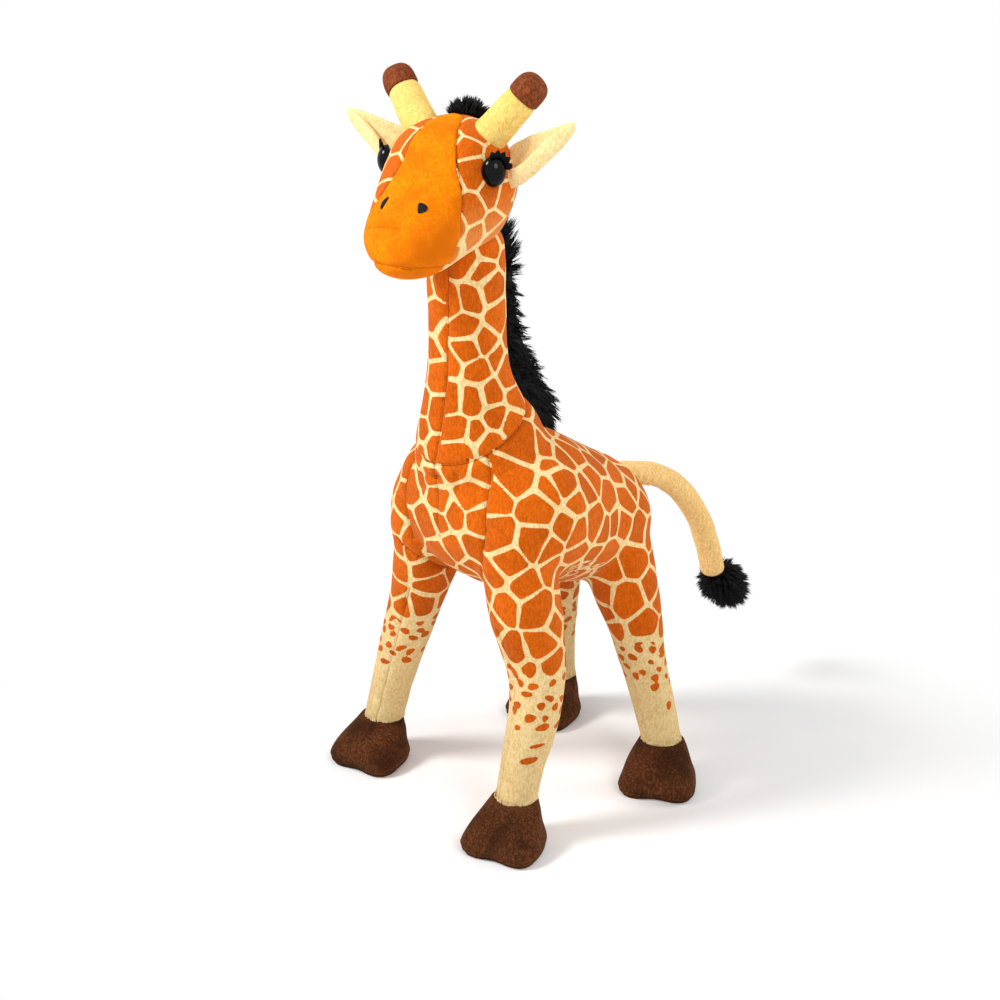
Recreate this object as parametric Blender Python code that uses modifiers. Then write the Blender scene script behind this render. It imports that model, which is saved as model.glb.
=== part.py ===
"""A stuffed toy giraffe, standing, about 400 mm tall with its horns.

Lengths are in metres and angles in degrees. +Z is up and the giraffe faces -Y,
so its left side is +X. Every soft piece is a coarse cage of rings under a
Subdivision Surface, and the limbs end in balls that sit in sockets of the body.
"""

import math

import bmesh
import bpy
from mathutils import Matrix, Vector

# Gaps and working values
seam_gap = 0.0004
over_cut = 0.002
cage_around = 12
limb_around = 8
small_around = 6
room_around = 16
dome_around = 14
sole_points = 24

# The middle of the space that the toy stands in, from the torso's middle line and front
stance_middle_x = -0.00443
stance_middle_y = 0.04112

# Torso
body_length = 0.143
body_half_width = 0.0600
body_half_height = 0.043
body_front_y = -0.062
body_middle_z = 0.160
body_slope_drop = 0.034

# Neck
neck_back_from_front = 0.034
neck_pivot_rise = 0.039
neck_ball_radius = 0.0360
neck_radius = 0.0194
neck_lean = -0.0099
neck_rise = 0.119
neck_plug_radius = 0.0165
upright_from_share = 0.45
neck_room_share = 1.4
# How far each softened ball comes out, as a share of its cage
neck_fit_share = 0.985
hip_fit_share = 0.950
tail_fit_share = 0.945
ball_lift_shares = (-0.90, -0.55, 0.0)
flare_shares = ((0.10, 0.86), (0.20, 0.54), (0.29, 0.24), (0.42, 0.05), (0.60, 0.0), (0.78, 0.0))
plug_shares = ((0.845, 0.9), (0.885, 0.0), (0.955, -0.12))
# Rows: share of the neck's rise, share of the step from the plug's radius to the neck's
plug_room_shares = (
    (0.740, 0.84), (0.845, 0.59), (0.895, -0.05), (0.925, -0.35), (0.960, -1.14), (0.985, -3.55),
)
neck_bow_limit = 15.0

# Head
head_length = 0.089
head_back_y = 0.019
head_half_width = 0.0315
head_half_height = 0.0335
head_middle_rise = 0.022
muzzle_drop = 0.022
tip_rise_share = 0.07
head_rest_turn = 14.0
# How far forward each of these is, as a share of the head's length from its back
blaze_top_share = 0.1685
ear_forward_share = 0.2584
horn_forward_share = 0.3146
eye_forward_share = 0.4888
muzzle_seam_share = 0.7079
panel_depth = 0.0022
mouth_seam_drop = 0.0335
blaze_top_half_width = 0.0080
blaze_middle_half_width = 0.0235

# Eyes
eye_half_width = 0.0060
eye_half_height = 0.0074
eye_depth = 0.0052
eye_side = 0.0296
eye_rise = 0.0100
eye_facing = 48.0
eye_sink = 0.0012
shank_radius = 0.0021
shank_length = 0.0125
washer_radius = 0.0060
washer_thickness = 0.0015
washer_setback = 0.0075
washer_clearance = 0.0006
lash_rise = 0.0052
lash_thickness = 0.0012
lash_standoff = 0.0024
lash_start = 22.0
lash_sweep = 136.0
lash_low_share = 0.62
lash_lobes = 5

# Horns
horn_radius = 0.0083
horn_side = 0.0180
horn_base_rise = 0.0225
horn_post_length = 0.0255
horn_cap_length = 0.0128
horn_splay = 40.0
horn_lean_back = 13.0

# Ears
ear_length = 0.0390
ear_half_height = 0.0125
ear_half_thickness = 0.0042
ear_side = 0.0285
ear_rise = 0.0115
ear_left_lift = 27.0
ear_right_lift = 16.0
ear_root_share = 0.105
# Rows: share of the length, of the half height, of the half thickness, of the rise
ear_shares = (
    (-0.07, 0.70, 0.75, 0.0), (0.06, 0.84, 1.05, 0.02), (0.34, 1.05, 1.0, 0.28),
    (0.64, 0.88, 0.85, 0.62), (0.90, 0.38, 0.50, 0.92),
)

# Legs
hip_ball_radius = 0.0205
front_hip_side = 0.0345
front_hip_inset = 0.028
front_hip_drop = 0.018
rear_hip_side = 0.0250
rear_hip_inset = 0.034
rear_hip_drop = 0.024
leg_radius = 0.0113
leg_swing_limit = 10.0
thigh_bulge_angle = 2.5
hip_lift_shares = (0.80, 0.0)
hip_room_share = 1.7
plug_end_shares = (0.70, 0.84)
plug_tip_share = 1.12
# Rows: share of the leg's radius above the ankle, share of its radius
ankle_room_shares = ((1.9, 0.9), (1.0, 1.0), (0.2, 1.0), (-0.35, 1.0), (-0.72, 0.90))
# Rows: share of the way down the leg, share of the way from the leg's radius to the ball's
front_right_shares = ((0.17, 0.62), (0.38, 0.30), (0.62, 0.15), (0.86, 0.02), (1.0, 0.0))
front_left_shares = ((0.17, 0.92), (0.38, 0.46), (0.60, 0.28), (0.84, 0.0), (1.0, 0.0))
rear_shares = ((0.20, 0.86), (0.40, 0.42), (0.62, 0.14), (0.86, 0.0), (1.0, 0.0))
ankle_z = 0.0235
ankle_plug_depth = 0.008
# How far each ankle stands out from its hip, and behind it
front_right_ankle_out = 0.0401
front_right_ankle_back = -0.0038
front_left_ankle_out = 0.0122
front_left_ankle_back = -0.0138
rear_right_ankle_out = 0.0202
rear_right_ankle_back = 0.0266
rear_left_ankle_out = 0.0301
rear_left_ankle_back = 0.0101
front_left_knee_out = 0.0075
front_left_knee_back = 0.0085

# Hooves
hoof_radius = 0.0200
hoof_forward = 0.0095
hoof_lobe_depth = 0.0052
hoof_lobe_angle = 46.0
hoof_notch_angle = 17.0
hoof_height = 0.0250
toe_notch_depth = 0.0080
# Rows: share of the height, and of the radius, lobe, notch and forward reach there
hoof_shares = (
    (0.05, 0.95, 1.0, 1.0, 1.0), (0.34, 1.00, 1.0, 0.8, 1.0),
    (0.66, 0.86, 0.6, 0.35, 0.72), (0.93, 0.60, 0.1, 0.0, 0.18),
)
sole_thickness = 0.0014
sole_inset = 0.0022
front_right_hoof_turn = 14.0
front_left_hoof_turn = 20.0
rear_right_hoof_turn = 8.0
rear_left_hoof_turn = 34.0

# Tail
tail_inset = 0.0090
tail_pivot_rise = 0.0040
tail_ball_radius = 0.0088
tail_radius = 0.0068
tail_reach = 0.0910
tail_drop = 0.0850
tail_swing_limit = 25.0
tuft_radius = 0.0145
tuft_length = 0.0330
tail_ball_share = 0.80
tail_room_share = 2.2
# Rows: share of the reach, share of the drop
tail_shares = (
    (0.0, 0.0), (0.22, -0.05), (0.42, -0.13), (0.62, -0.30),
    (0.78, -0.52), (0.90, -0.76), (0.965, -0.94), (0.985, -1.0),
)
tuft_overlap_share = 0.20
tuft_sweep_share = 0.45
tuft_shares = ((0.08, 0.70), (0.36, 1.0), (0.68, 0.92), (0.93, 0.50))

# Mane and forelock
mane_half_width = 0.0050
mane_height = 0.0145
mane_top_rise = 0.002
mane_end_back = 0.0495
mane_end_rise = 0.0450
mane_out_share = 0.25
mane_deep_share = 0.62
mane_swell_share = 0.20
mane_stand_shares = (0.0, 0.10, 0.32, 0.54, 0.74, 0.92, 1.0)
mane_flare_shares = (0.0, 0.0, 0.02, 0.10, 0.36, 1.0)
forelock_half_width = 0.0085
forelock_length = 0.0240
forelock_height = 0.0085
forelock_y = 0.0010
forelock_rise = 0.0325

# Places that follow from the sizes above
body_back_y = body_front_y + body_length
neck_pivot_y = body_front_y + neck_back_from_front
neck_pivot_z = body_middle_z + neck_pivot_rise
neck_top_y = neck_pivot_y + neck_lean
neck_top_z = neck_pivot_z + neck_rise
head_middle_z = neck_top_z + head_middle_rise
mouth_seam_z = head_middle_z - mouth_seam_drop
front_hip_y = body_front_y + front_hip_inset
front_hip_z = body_middle_z - front_hip_drop
rear_hip_y = body_back_y - rear_hip_inset
rear_hip_z = body_middle_z - rear_hip_drop
mane_top_z = neck_top_z + mane_top_rise
mane_end_y = neck_pivot_y + mane_end_back
mane_end_z = body_middle_z + mane_end_rise

ORANGE = (0.610, 0.115, 0.008)
CREAM = (0.900, 0.680, 0.330)
GOLD = (0.900, 0.320, 0.008)
BROWN = (0.075, 0.022, 0.010)
CAP_BROWN = (0.170, 0.036, 0.018)
TAN = (0.830, 0.520, 0.180)
BLACK = (0.006, 0.006, 0.007)


def clear_scene():
    for thing in list(bpy.data.objects):
        bpy.data.objects.remove(thing, do_unlink=True)


def new_collection(name, hidden=False):
    made = bpy.data.collections.new(name)
    bpy.context.scene.collection.children.link(made)
    made.hide_render = hidden
    return made


def material(name, colour, roughness, metallic=0.0):
    made = bpy.data.materials.new(name)
    made.use_nodes = True
    shader = made.node_tree.nodes["Principled BSDF"]
    shader.inputs["Base Color"].default_value = (*colour, 1)
    shader.inputs["Roughness"].default_value = roughness
    shader.inputs["Metallic"].default_value = metallic
    return made


def place(obj, finish, collection, parent=None):
    collection.objects.link(obj)
    if finish:
        obj.data.materials.append(finish)
    obj.parent = parent or STANCE
    return obj


def guide(obj):
    obj.hide_render = True
    obj.display_type = "WIRE"
    return obj


def pivot(name, location, parent=None, turn=0.0):
    made = bpy.data.objects.new(name, None)
    made.location = location
    made.rotation_euler = (0, 0, math.radians(turn))
    made.parent = parent or STANCE
    made.empty_display_size = hip_ball_radius
    PARTS.objects.link(made)
    return made


def bend(points, shares):
    """A smooth run of values through the given ones, read at each share."""
    last = len(points) - 1
    found = []
    for share in shares:
        at = min(share, 1) * last
        i = min(int(at), last - 1)
        t = at - i
        before, a = points[max(i - 1, 0)], points[i]
        b, after = points[i + 1], points[min(i + 2, last)]
        found.append(0.5 * ((2 * a) + (b - before) * t
                            + (2 * before - 5 * a + 4 * b - after) * t * t
                            + (3 * a - before - 3 * b + after) * t ** 3))
    return found


def ring_cage(path, wides, deeps, around, side=Vector((1, 0, 0)), fill=True):
    """A closed cage: a sphere whose rings are moved to stations along a path.

    path holds the two poles and the ring centres between them.
    """
    rings = len(path) - 2
    mesh = bmesh.new()
    bmesh.ops.create_uvsphere(mesh, u_segments=around, v_segments=rings + 1, radius=1)
    swell = 1 / math.cos(math.pi / around) if fill else 1
    for vertex in mesh.verts:
        row = round(math.acos(max(-1, min(1, vertex.co.z))) / math.pi * (rings + 1))
        angle = math.atan2(vertex.co.y, vertex.co.x)
        if row in (0, rings + 1):
            vertex.co = path[row]
            continue
        along = (path[row + 1] - path[row - 1]).normalized()
        across = (side - along * side.dot(along)).normalized()
        third = along.cross(across)
        wide = across * wides[row - 1] * math.cos(angle) * swell
        deep = third * deeps[row - 1] * math.sin(angle) * swell
        vertex.co = path[row] + wide + deep
    bmesh.ops.recalc_face_normals(mesh, faces=mesh.faces)
    if mesh.calc_volume(signed=True) < 0:
        bmesh.ops.reverse_faces(mesh, faces=mesh.faces)
    return mesh


def object_of(name, mesh):
    data = bpy.data.meshes.new(name)
    mesh.to_mesh(data)
    mesh.free()
    data.shade_smooth()
    return bpy.data.objects.new(name, data)


def soften(obj, levels=1):
    made = obj.modifiers.new("Soft", "SUBSURF")
    made.levels = levels
    made.render_levels = levels
    return obj


def cut(obj, cutter, operation="DIFFERENCE"):
    made = obj.modifiers.new(cutter.name, "BOOLEAN")
    made.operation = operation
    made.object = cutter
    made.solver = "EXACT"
    return obj


def ball_room(name, centre, radius, fit_share, swing, opening, direction):
    """The room that a ball-ended limb swings in: a dome and a skirt that flares."""
    out = direction.normalized()
    reach = radius * fit_share + seam_gap
    waist = reach / math.cos(math.radians(swing))
    path, wides = [centre - out * reach], []
    dome_steps = 5
    for i in range(1, dome_steps):
        lift = math.pi / 2 * (1 - i / dome_steps)
        path.append(centre - out * reach * math.sin(lift))
        wides.append(reach * math.cos(lift))
    for depth_share in (0, 0.5, 1):
        depth = opening * depth_share
        path.append(centre + out * depth)
        wides.append(waist + depth * math.tan(math.radians(swing)))
    path.append(centre + out * (opening + over_cut))
    round_fit = 1 / math.cos(math.pi / room_around)
    wides = [w * round_fit for w in wides]
    side = Vector((1, 0, 0)) if abs(out.x) < 0.9 else Vector((0, 0, 1))
    mesh = ring_cage(path, wides, wides, room_around, side, fill=False)
    return place(guide(object_of(name, mesh)), None, CUTTERS)


def block(name, low, high, parent=None):
    mesh = bmesh.new()
    bmesh.ops.create_cube(mesh, size=1)
    size = [b - a for a, b in zip(low, high)]
    middle = [(a + b) / 2 for a, b in zip(low, high)]
    bmesh.ops.scale(mesh, vec=size, verts=mesh.verts)
    bmesh.ops.translate(mesh, vec=middle, verts=mesh.verts)
    return place(guide(object_of(name, mesh)), None, CUTTERS, parent)


def torso_form(name, grow=0.0):
    """Rows: share of the length, of the half width, of the half height, of the slope."""
    rows_shares = [
        (0.040, 0.58, 0.60, -0.42),
        (0.150, 0.92, 0.92, -0.42),
        (0.310, 1.00, 1.06, -0.32),
        (0.490, 0.86, 0.98, -0.05),
        (0.670, 0.74, 0.88, 0.28),
        (0.830, 0.70, 0.80, 0.42),
        (0.955, 0.47, 0.54, 0.46),
    ]
    path = [Vector((0, body_front_y - grow, body_middle_z - body_slope_drop * rows_shares[0][3]))]
    wides, deeps = [], []
    for along, wide, deep, fall in rows_shares:
        path.append(Vector((0, body_front_y + body_length * along, body_middle_z - body_slope_drop * fall)))
        wides.append(body_half_width * wide + grow)
        deeps.append(body_half_height * deep + grow)
    path.append(Vector((0, body_front_y + body_length + grow, path[-1].z)))
    return soften(object_of(name, ring_cage(path, wides, deeps, cage_around)))


def neck_line(share):
    """The neck's middle line from the middle of its ball, at 0, to its top, at 1."""
    lean = neck_top_y - neck_pivot_y
    bow = math.sin(min(share / upright_from_share, 1) * math.pi / 2)
    return Vector((0, lean * bow, (neck_top_z - neck_pivot_z) * share))


def neck_form(name):
    """A ball on its pivot, a flare, the neck and a narrower plug that the head turns on."""
    ball = neck_ball_radius
    path = [Vector((0, 0, -ball))]
    wides = []
    for lift_share in ball_lift_shares:
        path.append(Vector((0, 0, ball * lift_share)))
        wides.append(ball * math.sqrt(1 - lift_share ** 2))
    for along, flare in flare_shares:
        path.append(neck_line(along))
        wides.append(neck_radius + (ball - neck_radius) * flare)
    for along, swell in plug_shares:
        path.append(neck_line(along))
        wides.append(neck_plug_radius + (neck_radius - neck_plug_radius) * swell)
    path.append(neck_line(1) + Vector((0, 0, seam_gap)))
    return soften(object_of(name, ring_cage(path, wides, wides, cage_around)))


def neck_plug_room():
    """The round socket in the head for the top of the neck, which turns in it."""
    rise = neck_top_z - neck_pivot_z
    path, wides = [], []
    for along, step in plug_room_shares:
        path.append(Vector((0, 0, neck_pivot_z + rise * along)))
        wides.append(neck_plug_radius + (neck_radius - neck_plug_radius) * step + 2 * seam_gap)
    path.insert(0, path[0] - Vector((0, 0, over_cut)))
    path.append(Vector((0, 0, neck_top_z - seam_gap)))
    mesh = ring_cage(path, wides, wides, room_around)
    return place(guide(object_of("neck_plug_room", mesh)), None, CUTTERS, HEAD)


def head_form(name, grow=0.0):
    """The head in its own frame: the neck's line at x 0, y 0, and heights as in the toy.

    Rows: share of the length, of the half width, of the half height, of the drop.
    """
    rows_shares = [
        (0.040, 0.50, 0.50, -0.13),
        (0.135, 0.84, 0.82, -0.10),
        (0.270, 1.00, 0.97, -0.09),
        (0.393, 1.03, 1.02, 0.00),
        (0.506, 0.99, 0.87, 0.34),
        (0.630, 0.87, 0.71, 0.68),
        (0.775, 0.80, 0.57, 0.95),
        (0.888, 0.70, 0.46, 1.05),
        (0.966, 0.45, 0.29, 1.09),
    ]
    path = [Vector((0, head_back_y + grow, head_middle_z - muzzle_drop * rows_shares[0][3]))]
    wides, deeps = [], []
    for along, wide, deep, fall in rows_shares:
        path.append(Vector((0, head_back_y - head_length * along, head_middle_z - muzzle_drop * fall)))
        wides.append(head_half_width * wide + grow)
        deeps.append(head_half_height * deep + grow)
    path.append(Vector((0, head_back_y - head_length - grow, path[-1].z + muzzle_drop * tip_rise_share)))
    return soften(object_of(name, ring_cage(path, wides, deeps, cage_around)))


def forward(share):
    """How far in front of the neck's line this share of the head's length is."""
    return head_length * share - head_back_y


def head_guide(name, grow):
    return place(guide(head_form(name, grow)), None, CUTTERS, HEAD)


def blaze_prism(name, grow):
    """An upright wedge over the forehead, as wide as the golden panel."""
    outline_shares = [(-1, 1), (-0.93, 0.52), (-0.75, 0.06), (0, 0), (0.75, 0.06), (0.93, 0.52), (1, 1)]
    front_y = -forward(muzzle_seam_share) - over_cut
    back_y = grow - forward(blaze_top_share)
    length = back_y - front_y
    mesh = bmesh.new()
    ring = []
    for side_share, forward_share in outline_shares:
        wide = blaze_top_half_width + (blaze_middle_half_width - blaze_top_half_width) * forward_share
        low_z = head_middle_z - muzzle_drop
        ring.append(mesh.verts.new((side_share * (wide + grow), back_y - length * forward_share, low_z)))
    face = mesh.faces.new(ring)
    made = bmesh.ops.extrude_face_region(mesh, geom=[face])
    lifted = [v for v in made["geom"] if isinstance(v, bmesh.types.BMVert)]
    bmesh.ops.translate(mesh, vec=(0, 0, muzzle_drop + 2 * head_half_height), verts=lifted)
    bmesh.ops.recalc_face_normals(mesh, faces=mesh.faces)
    return place(guide(object_of(name, mesh)), None, CUTTERS, HEAD)


def front_block(name, low_z, high_z, setback):
    """All of the head in front of the seam behind the muzzle, between two heights."""
    low = (-head_length, -2 * head_length, low_z)
    high = (head_length, -forward(muzzle_seam_share) - setback, high_z)
    return block(name, low, high, HEAD)


def make_head():
    core = head_guide("head_core", -panel_depth)
    core_gap = head_guide("head_core_gap", -panel_depth - seam_gap)
    top_z = head_middle_z + 2 * head_half_height
    low_z = head_middle_z - 2 * head_half_height
    low = (-head_length, over_cut - forward(muzzle_seam_share), low_z)
    back = block("behind_seam", low, (head_length, head_length, top_z), HEAD)
    cut(core, back, "INTERSECT")
    cut(core_gap, back, "INTERSECT")
    seat = blaze_prism("blaze_seat", seam_gap)
    cut(seat, core_gap)
    muzzle_room = front_block("muzzle_room", low_z, top_z, 0)
    muzzle_part = front_block("muzzle_block", mouth_seam_z, top_z, seam_gap)
    chin_part = front_block("chin_block", low_z, mouth_seam_z - seam_gap, seam_gap)

    head = head_form("head")
    place(head, material("printed_plush_head", ORANGE, 0.9), PARTS, HEAD)
    cut(head, muzzle_room)
    cut(head, seat)
    cut(head, neck_plug_room())

    region = blaze_prism("blaze_region", 0)
    cut(region, core)
    cut(region, muzzle_part, "UNION")
    face = head_form("face_panel")
    place(face, material("golden_plush", GOLD, 0.85), PARTS, HEAD)
    cut(face, region, "INTERSECT")

    chin = head_form("chin")
    place(chin, material("golden_plush_chin", GOLD, 0.85), PARTS, HEAD)
    cut(chin, chin_part, "INTERSECT")
    return head


def turned(name, outline, collection, finish=None):
    """A turned solid about its own Z axis. The outline runs from one pole to the other."""
    path = [Vector((0, 0, z)) for _, z in outline]
    wides = [r for r, _ in outline[1:-1]]
    mesh = ring_cage(path, wides, wides, dome_around, fill=False)
    return place(object_of(name, mesh), finish, collection, HEAD)


def aim(obj, location, direction):
    obj.location = location
    obj.rotation_euler = Vector(direction).to_track_quat("Z", "Y").to_euler()
    return obj


def cylinder(name, radius, low, high, collection, finish=None):
    mesh = bmesh.new()
    tall = high - low
    bmesh.ops.create_cone(mesh, cap_ends=True, segments=room_around, radius1=radius, radius2=radius,
                          depth=tall)
    bmesh.ops.translate(mesh, vec=(0, 0, (low + high) / 2), verts=mesh.verts)
    return place(object_of(name, mesh), finish, collection, HEAD)


def cutter_cylinder(name, radius, low, high):
    return guide(cylinder(name, radius, low, high, CUTTERS))


def dome(name, grow, collection, finish=None):
    """An oval lens about its own Z axis, which looks out of the head."""
    rows = 6
    outline = []
    for i in range(rows + 1):
        lift = math.pi * i / rows
        outline.append((math.sin(lift), math.cos(lift)))
    obj = turned(name, outline, collection, finish)
    for vertex in obj.data.vertices:
        x, y, z = vertex.co
        vertex.co = (x * (eye_half_width + grow), y * (eye_half_height + grow), z * (eye_depth + grow))
    return obj


def make_eye(label, side, head):
    facing = math.radians(eye_facing)
    out = Vector((side * math.sin(facing), -math.cos(facing), 0))
    spot = Vector((side * eye_side, -forward(eye_forward_share), head_middle_z + eye_rise))
    black = material("black_plastic_" + label, BLACK, 0.08)

    eye = dome("eye_" + label, 0, PARTS, black)
    shank = cutter_cylinder("shank_" + label, shank_radius, -shank_length, 0)
    cut(eye, shank, "UNION")
    seat = guide(dome("eye_seat_" + label, seam_gap, CUTTERS))
    bore_end = -shank_length - washer_clearance
    bore = cutter_cylinder("shank_bore_" + label, shank_radius + seam_gap, bore_end, 0)
    low = -washer_setback - washer_thickness
    pocket = cutter_cylinder("washer_pocket_" + label, washer_radius + washer_clearance,
                             low - washer_clearance, -washer_setback + seam_gap)
    finish = material("washer_plastic_" + label, CREAM, 0.5)
    washer = cylinder("eye_washer_" + label, washer_radius, low, -washer_setback, PARTS, finish)
    hole = cutter_cylinder("washer_hole_" + label, shank_radius + seam_gap, low - over_cut, over_cut)
    cut(washer, hole)
    for obj in (eye, shank, seat, bore, pocket, washer, hole):
        aim(obj, spot - out * eye_sink, out)
    for cutter in (seat, bore, pocket):
        cut(head, cutter)
    make_lash(label, side, spot, out)


def make_lash(label, side, spot, out):
    """A felt strip along the upper rim of the eye, with a scalloped free edge."""
    across = Vector((-out.y, out.x, 0)) * side
    rise = (eye_sink + lash_standoff - lash_thickness / 2) / eye_depth
    rim_share = math.sqrt(1 - rise ** 2)
    lower, upper = [], []
    count = lash_lobes * 3
    for i in range(count + 1):
        share = i / count
        angle = math.radians(lash_start + lash_sweep * share)
        scallop = lash_low_share + (1 - lash_low_share) * abs(math.sin(math.pi * lash_lobes * share))
        rim_x = (eye_half_width * rim_share + seam_gap) * math.cos(angle)
        rim_z = (eye_half_height * rim_share + seam_gap) * math.sin(angle)
        reach = lash_rise * scallop
        lower.append((rim_x, rim_z))
        upper.append((rim_x + reach * math.cos(angle), rim_z + reach * math.sin(angle)))
    curve = bpy.data.curves.new("eyelash_" + label, "CURVE")
    curve.dimensions = "2D"
    curve.fill_mode = "BOTH"
    curve.extrude = lash_thickness / 2
    line = curve.splines.new("POLY")
    outline = lower + upper[::-1]
    line.points.add(len(outline) - 1)
    for point, (x, z) in zip(line.points, outline):
        point.co = (x, z, 0, 1)
    line.use_cyclic_u = True
    obj = bpy.data.objects.new("eyelash_" + label, curve)
    place(obj, material("black_felt_" + label, BLACK, 0.95), PARTS, HEAD)
    up = Vector((0, 0, 1))
    turn = Matrix((across, up, across.cross(up))).transposed()
    obj.matrix_basis = Matrix.Translation(spot + out * lash_standoff) @ turn.to_4x4()
    return obj


def make_horn(label, side, shell):
    splay, lean = math.radians(horn_splay), math.radians(horn_lean_back)
    out = Vector((side * math.sin(splay), math.sin(lean), math.cos(splay)))
    spot = Vector((side * horn_side, -forward(horn_forward_share), head_middle_z + horn_base_rise))
    r, split, top = horn_radius, horn_post_length, horn_post_length + horn_cap_length
    post = turned("horn_" + label, [
        (0, 0), (r * 0.82, 0), (r * 1.02, split * 0.25), (r * 0.98, split * 0.6),
        (r * 0.94, split), (0, split),
    ], PARTS, material("cream_plush_horn_" + label, CREAM, 0.9))
    low = split + seam_gap
    tall = top - low
    cap = turned("horn_cap_" + label, [
        (0, low), (r * 0.96, low), (r * 1.06, low + tall * 0.22), (r * 1.04, low + tall * 0.48),
        (r * 0.84, low + tall * 0.76), (r * 0.46, low + tall * 0.95), (0, top),
    ], PARTS, material("brown_plush_cap_" + label, CAP_BROWN, 0.9))
    aim(post, spot, out)
    aim(cap, spot, out)
    cut(post, shell)
    return post


def make_ear(label, side, ear_lift, head):
    """A leaf that stands out sideways from an upright round root, which is its hinge."""
    root = Vector((side * ear_side, -forward(ear_forward_share), head_middle_z + ear_rise))
    hinge = pivot("ear_hinge_" + label, root, HEAD)
    out = Vector((side * ear_length, 0, 0))
    up = Vector((0, 0, ear_length * math.tan(math.radians(ear_lift))))
    path = [-out * ear_root_share]
    highs, thicks = [], []
    for along, high, thick, rise in ear_shares:
        path.append(out * along + up * rise)
        highs.append(ear_half_height * high)
        thicks.append(ear_half_thickness * thick)
    path.append(out + up)
    ear = soften(object_of("ear_" + label, ring_cage(path, thicks, highs, small_around, Vector((0, 1, 0)))))
    place(ear, material("cream_plush_ear_" + label, CREAM, 0.9), PARTS, hinge)
    reach = ear_half_thickness + seam_gap
    tall = ear_half_height * ear_shares[0][1] + 2 * seam_gap
    room = cutter_cylinder("ear_room_" + label, reach / math.cos(math.pi / room_around), -tall, tall)
    room.location = root
    cut(head, room)
    return ear


def leg_form(name, hip, ankle, knee, thigh_shares):
    """A ball at the hip, then rings down a line that bows by the knee's offset to the ankle."""
    path = [hip + Vector((0, 0, hip_ball_radius))]
    wides = []
    for lift_share in hip_lift_shares:
        path.append(hip + Vector((0, 0, hip_ball_radius * lift_share)))
        wides.append(hip_ball_radius * math.sqrt(1 - lift_share ** 2))
    for along, wide in thigh_shares:
        path.append(hip.lerp(ankle, along) + knee * math.sin(math.pi * along) ** 2)
        wides.append(leg_radius + (hip_ball_radius - leg_radius) * wide)
    path.append(ankle - Vector((0, 0, ankle_plug_depth * plug_end_shares[0])))
    wides.append(leg_radius * plug_end_shares[1])
    path.append(ankle - Vector((0, 0, ankle_plug_depth * plug_tip_share)))
    return soften(object_of(name, ring_cage(path, wides, wides, limb_around)))


def hoof_reach(angle, radius, lobe, notch):
    """How far the cloven outline reaches from the hoof's middle, by the angle from the toe."""
    away = math.degrees(abs(angle))
    lobes = lobe * math.exp(-((away - hoof_lobe_angle) / (hoof_lobe_angle * 0.62)) ** 2)
    cleft = notch * math.exp(-(away / hoof_notch_angle) ** 2)
    return radius + lobes - cleft


def hoof_spot(angle, radius, lobe, notch):
    """The point of the outline at this angle from the toe, which is at -Y."""
    reach = hoof_reach(angle, radius, lobe, notch)
    return math.sin(angle) * reach, -hoof_forward - math.cos(angle) * reach


def make_hoof(label, ankle, turn, leg_pivot, leg_end):
    foot = pivot("hoof_turn_" + label, Vector((ankle.x, ankle.y, 0)) - leg_pivot.location, leg_pivot, turn)
    last = len(hoof_shares) + 1
    mesh = bmesh.new()
    bmesh.ops.create_uvsphere(mesh, u_segments=cage_around, v_segments=last, radius=1)
    swell = 1 / math.cos(math.pi / cage_around)
    for vertex in mesh.verts:
        row = round(math.acos(max(-1, min(1, vertex.co.z))) / math.pi * last)
        angle = math.atan2(vertex.co.x, -vertex.co.y)
        if row == 0:
            vertex.co = (0, -hoof_forward, 0)
        elif row == last:
            vertex.co = (0, 0, hoof_height)
        else:
            high, wide, lobe, notch, forward = hoof_shares[row - 1]
            radius = hoof_radius * wide * swell
            x, y = hoof_spot(angle, radius, hoof_lobe_depth * lobe, toe_notch_depth * notch)
            vertex.co = (x, y + hoof_forward * (1 - forward), hoof_height * high)
    bmesh.ops.recalc_face_normals(mesh, faces=mesh.faces)
    if mesh.calc_volume(signed=True) < 0:
        bmesh.ops.reverse_faces(mesh, faces=mesh.faces)
    hoof = soften(object_of("hoof_" + label, mesh))
    place(hoof, material("brown_plush_hoof_" + label, BROWN, 0.95), PARTS, foot)
    reach = 2 * (hoof_radius + hoof_forward)
    low, high = (-reach, -reach, -hoof_height), (reach, reach, sole_thickness + seam_gap)
    cut(hoof, block("hoof_floor_" + label, low, high, foot))
    cut(hoof, leg_end)

    curve = bpy.data.curves.new("sole_" + label, "CURVE")
    curve.dimensions = "2D"
    curve.fill_mode = "BOTH"
    curve.extrude = sole_thickness / 2
    line = curve.splines.new("POLY")
    line.points.add(sole_points - 1)
    for i, point in enumerate(line.points):
        angle = math.pi * (2 * i / sole_points - 1)
        x, y = hoof_spot(angle, hoof_radius - sole_inset, hoof_lobe_depth, toe_notch_depth)
        point.co = (x, y, 0, 1)
    line.use_cyclic_u = True
    sole = bpy.data.objects.new("sole_" + label, curve)
    sole.location = (0, 0, sole_thickness / 2)
    place(sole, material("brown_felt_sole_" + label, BROWN, 0.95), PARTS, foot)
    return hoof


def make_leg(label, hip, ankle, knee, turn, torso, swells_shares):
    hinge = pivot("hip_" + label, hip)
    leg = leg_form("leg_" + label, Vector((0, 0, 0)), ankle - hip, knee, swells_shares)
    place(leg, material("printed_plush_leg_" + label, CREAM, 0.9), PARTS, hinge)
    grown = leg_guide("ankle_room_" + label, ankle - hip, hinge)
    opening = hip_ball_radius * hip_room_share
    flare = leg_swing_limit + thigh_bulge_angle
    room = ball_room("hip_room_" + label, hip, hip_ball_radius, hip_fit_share, flare, opening, ankle - hip)
    cut(torso, room)
    make_hoof(label, ankle, turn, hinge, grown)
    return leg


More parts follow.
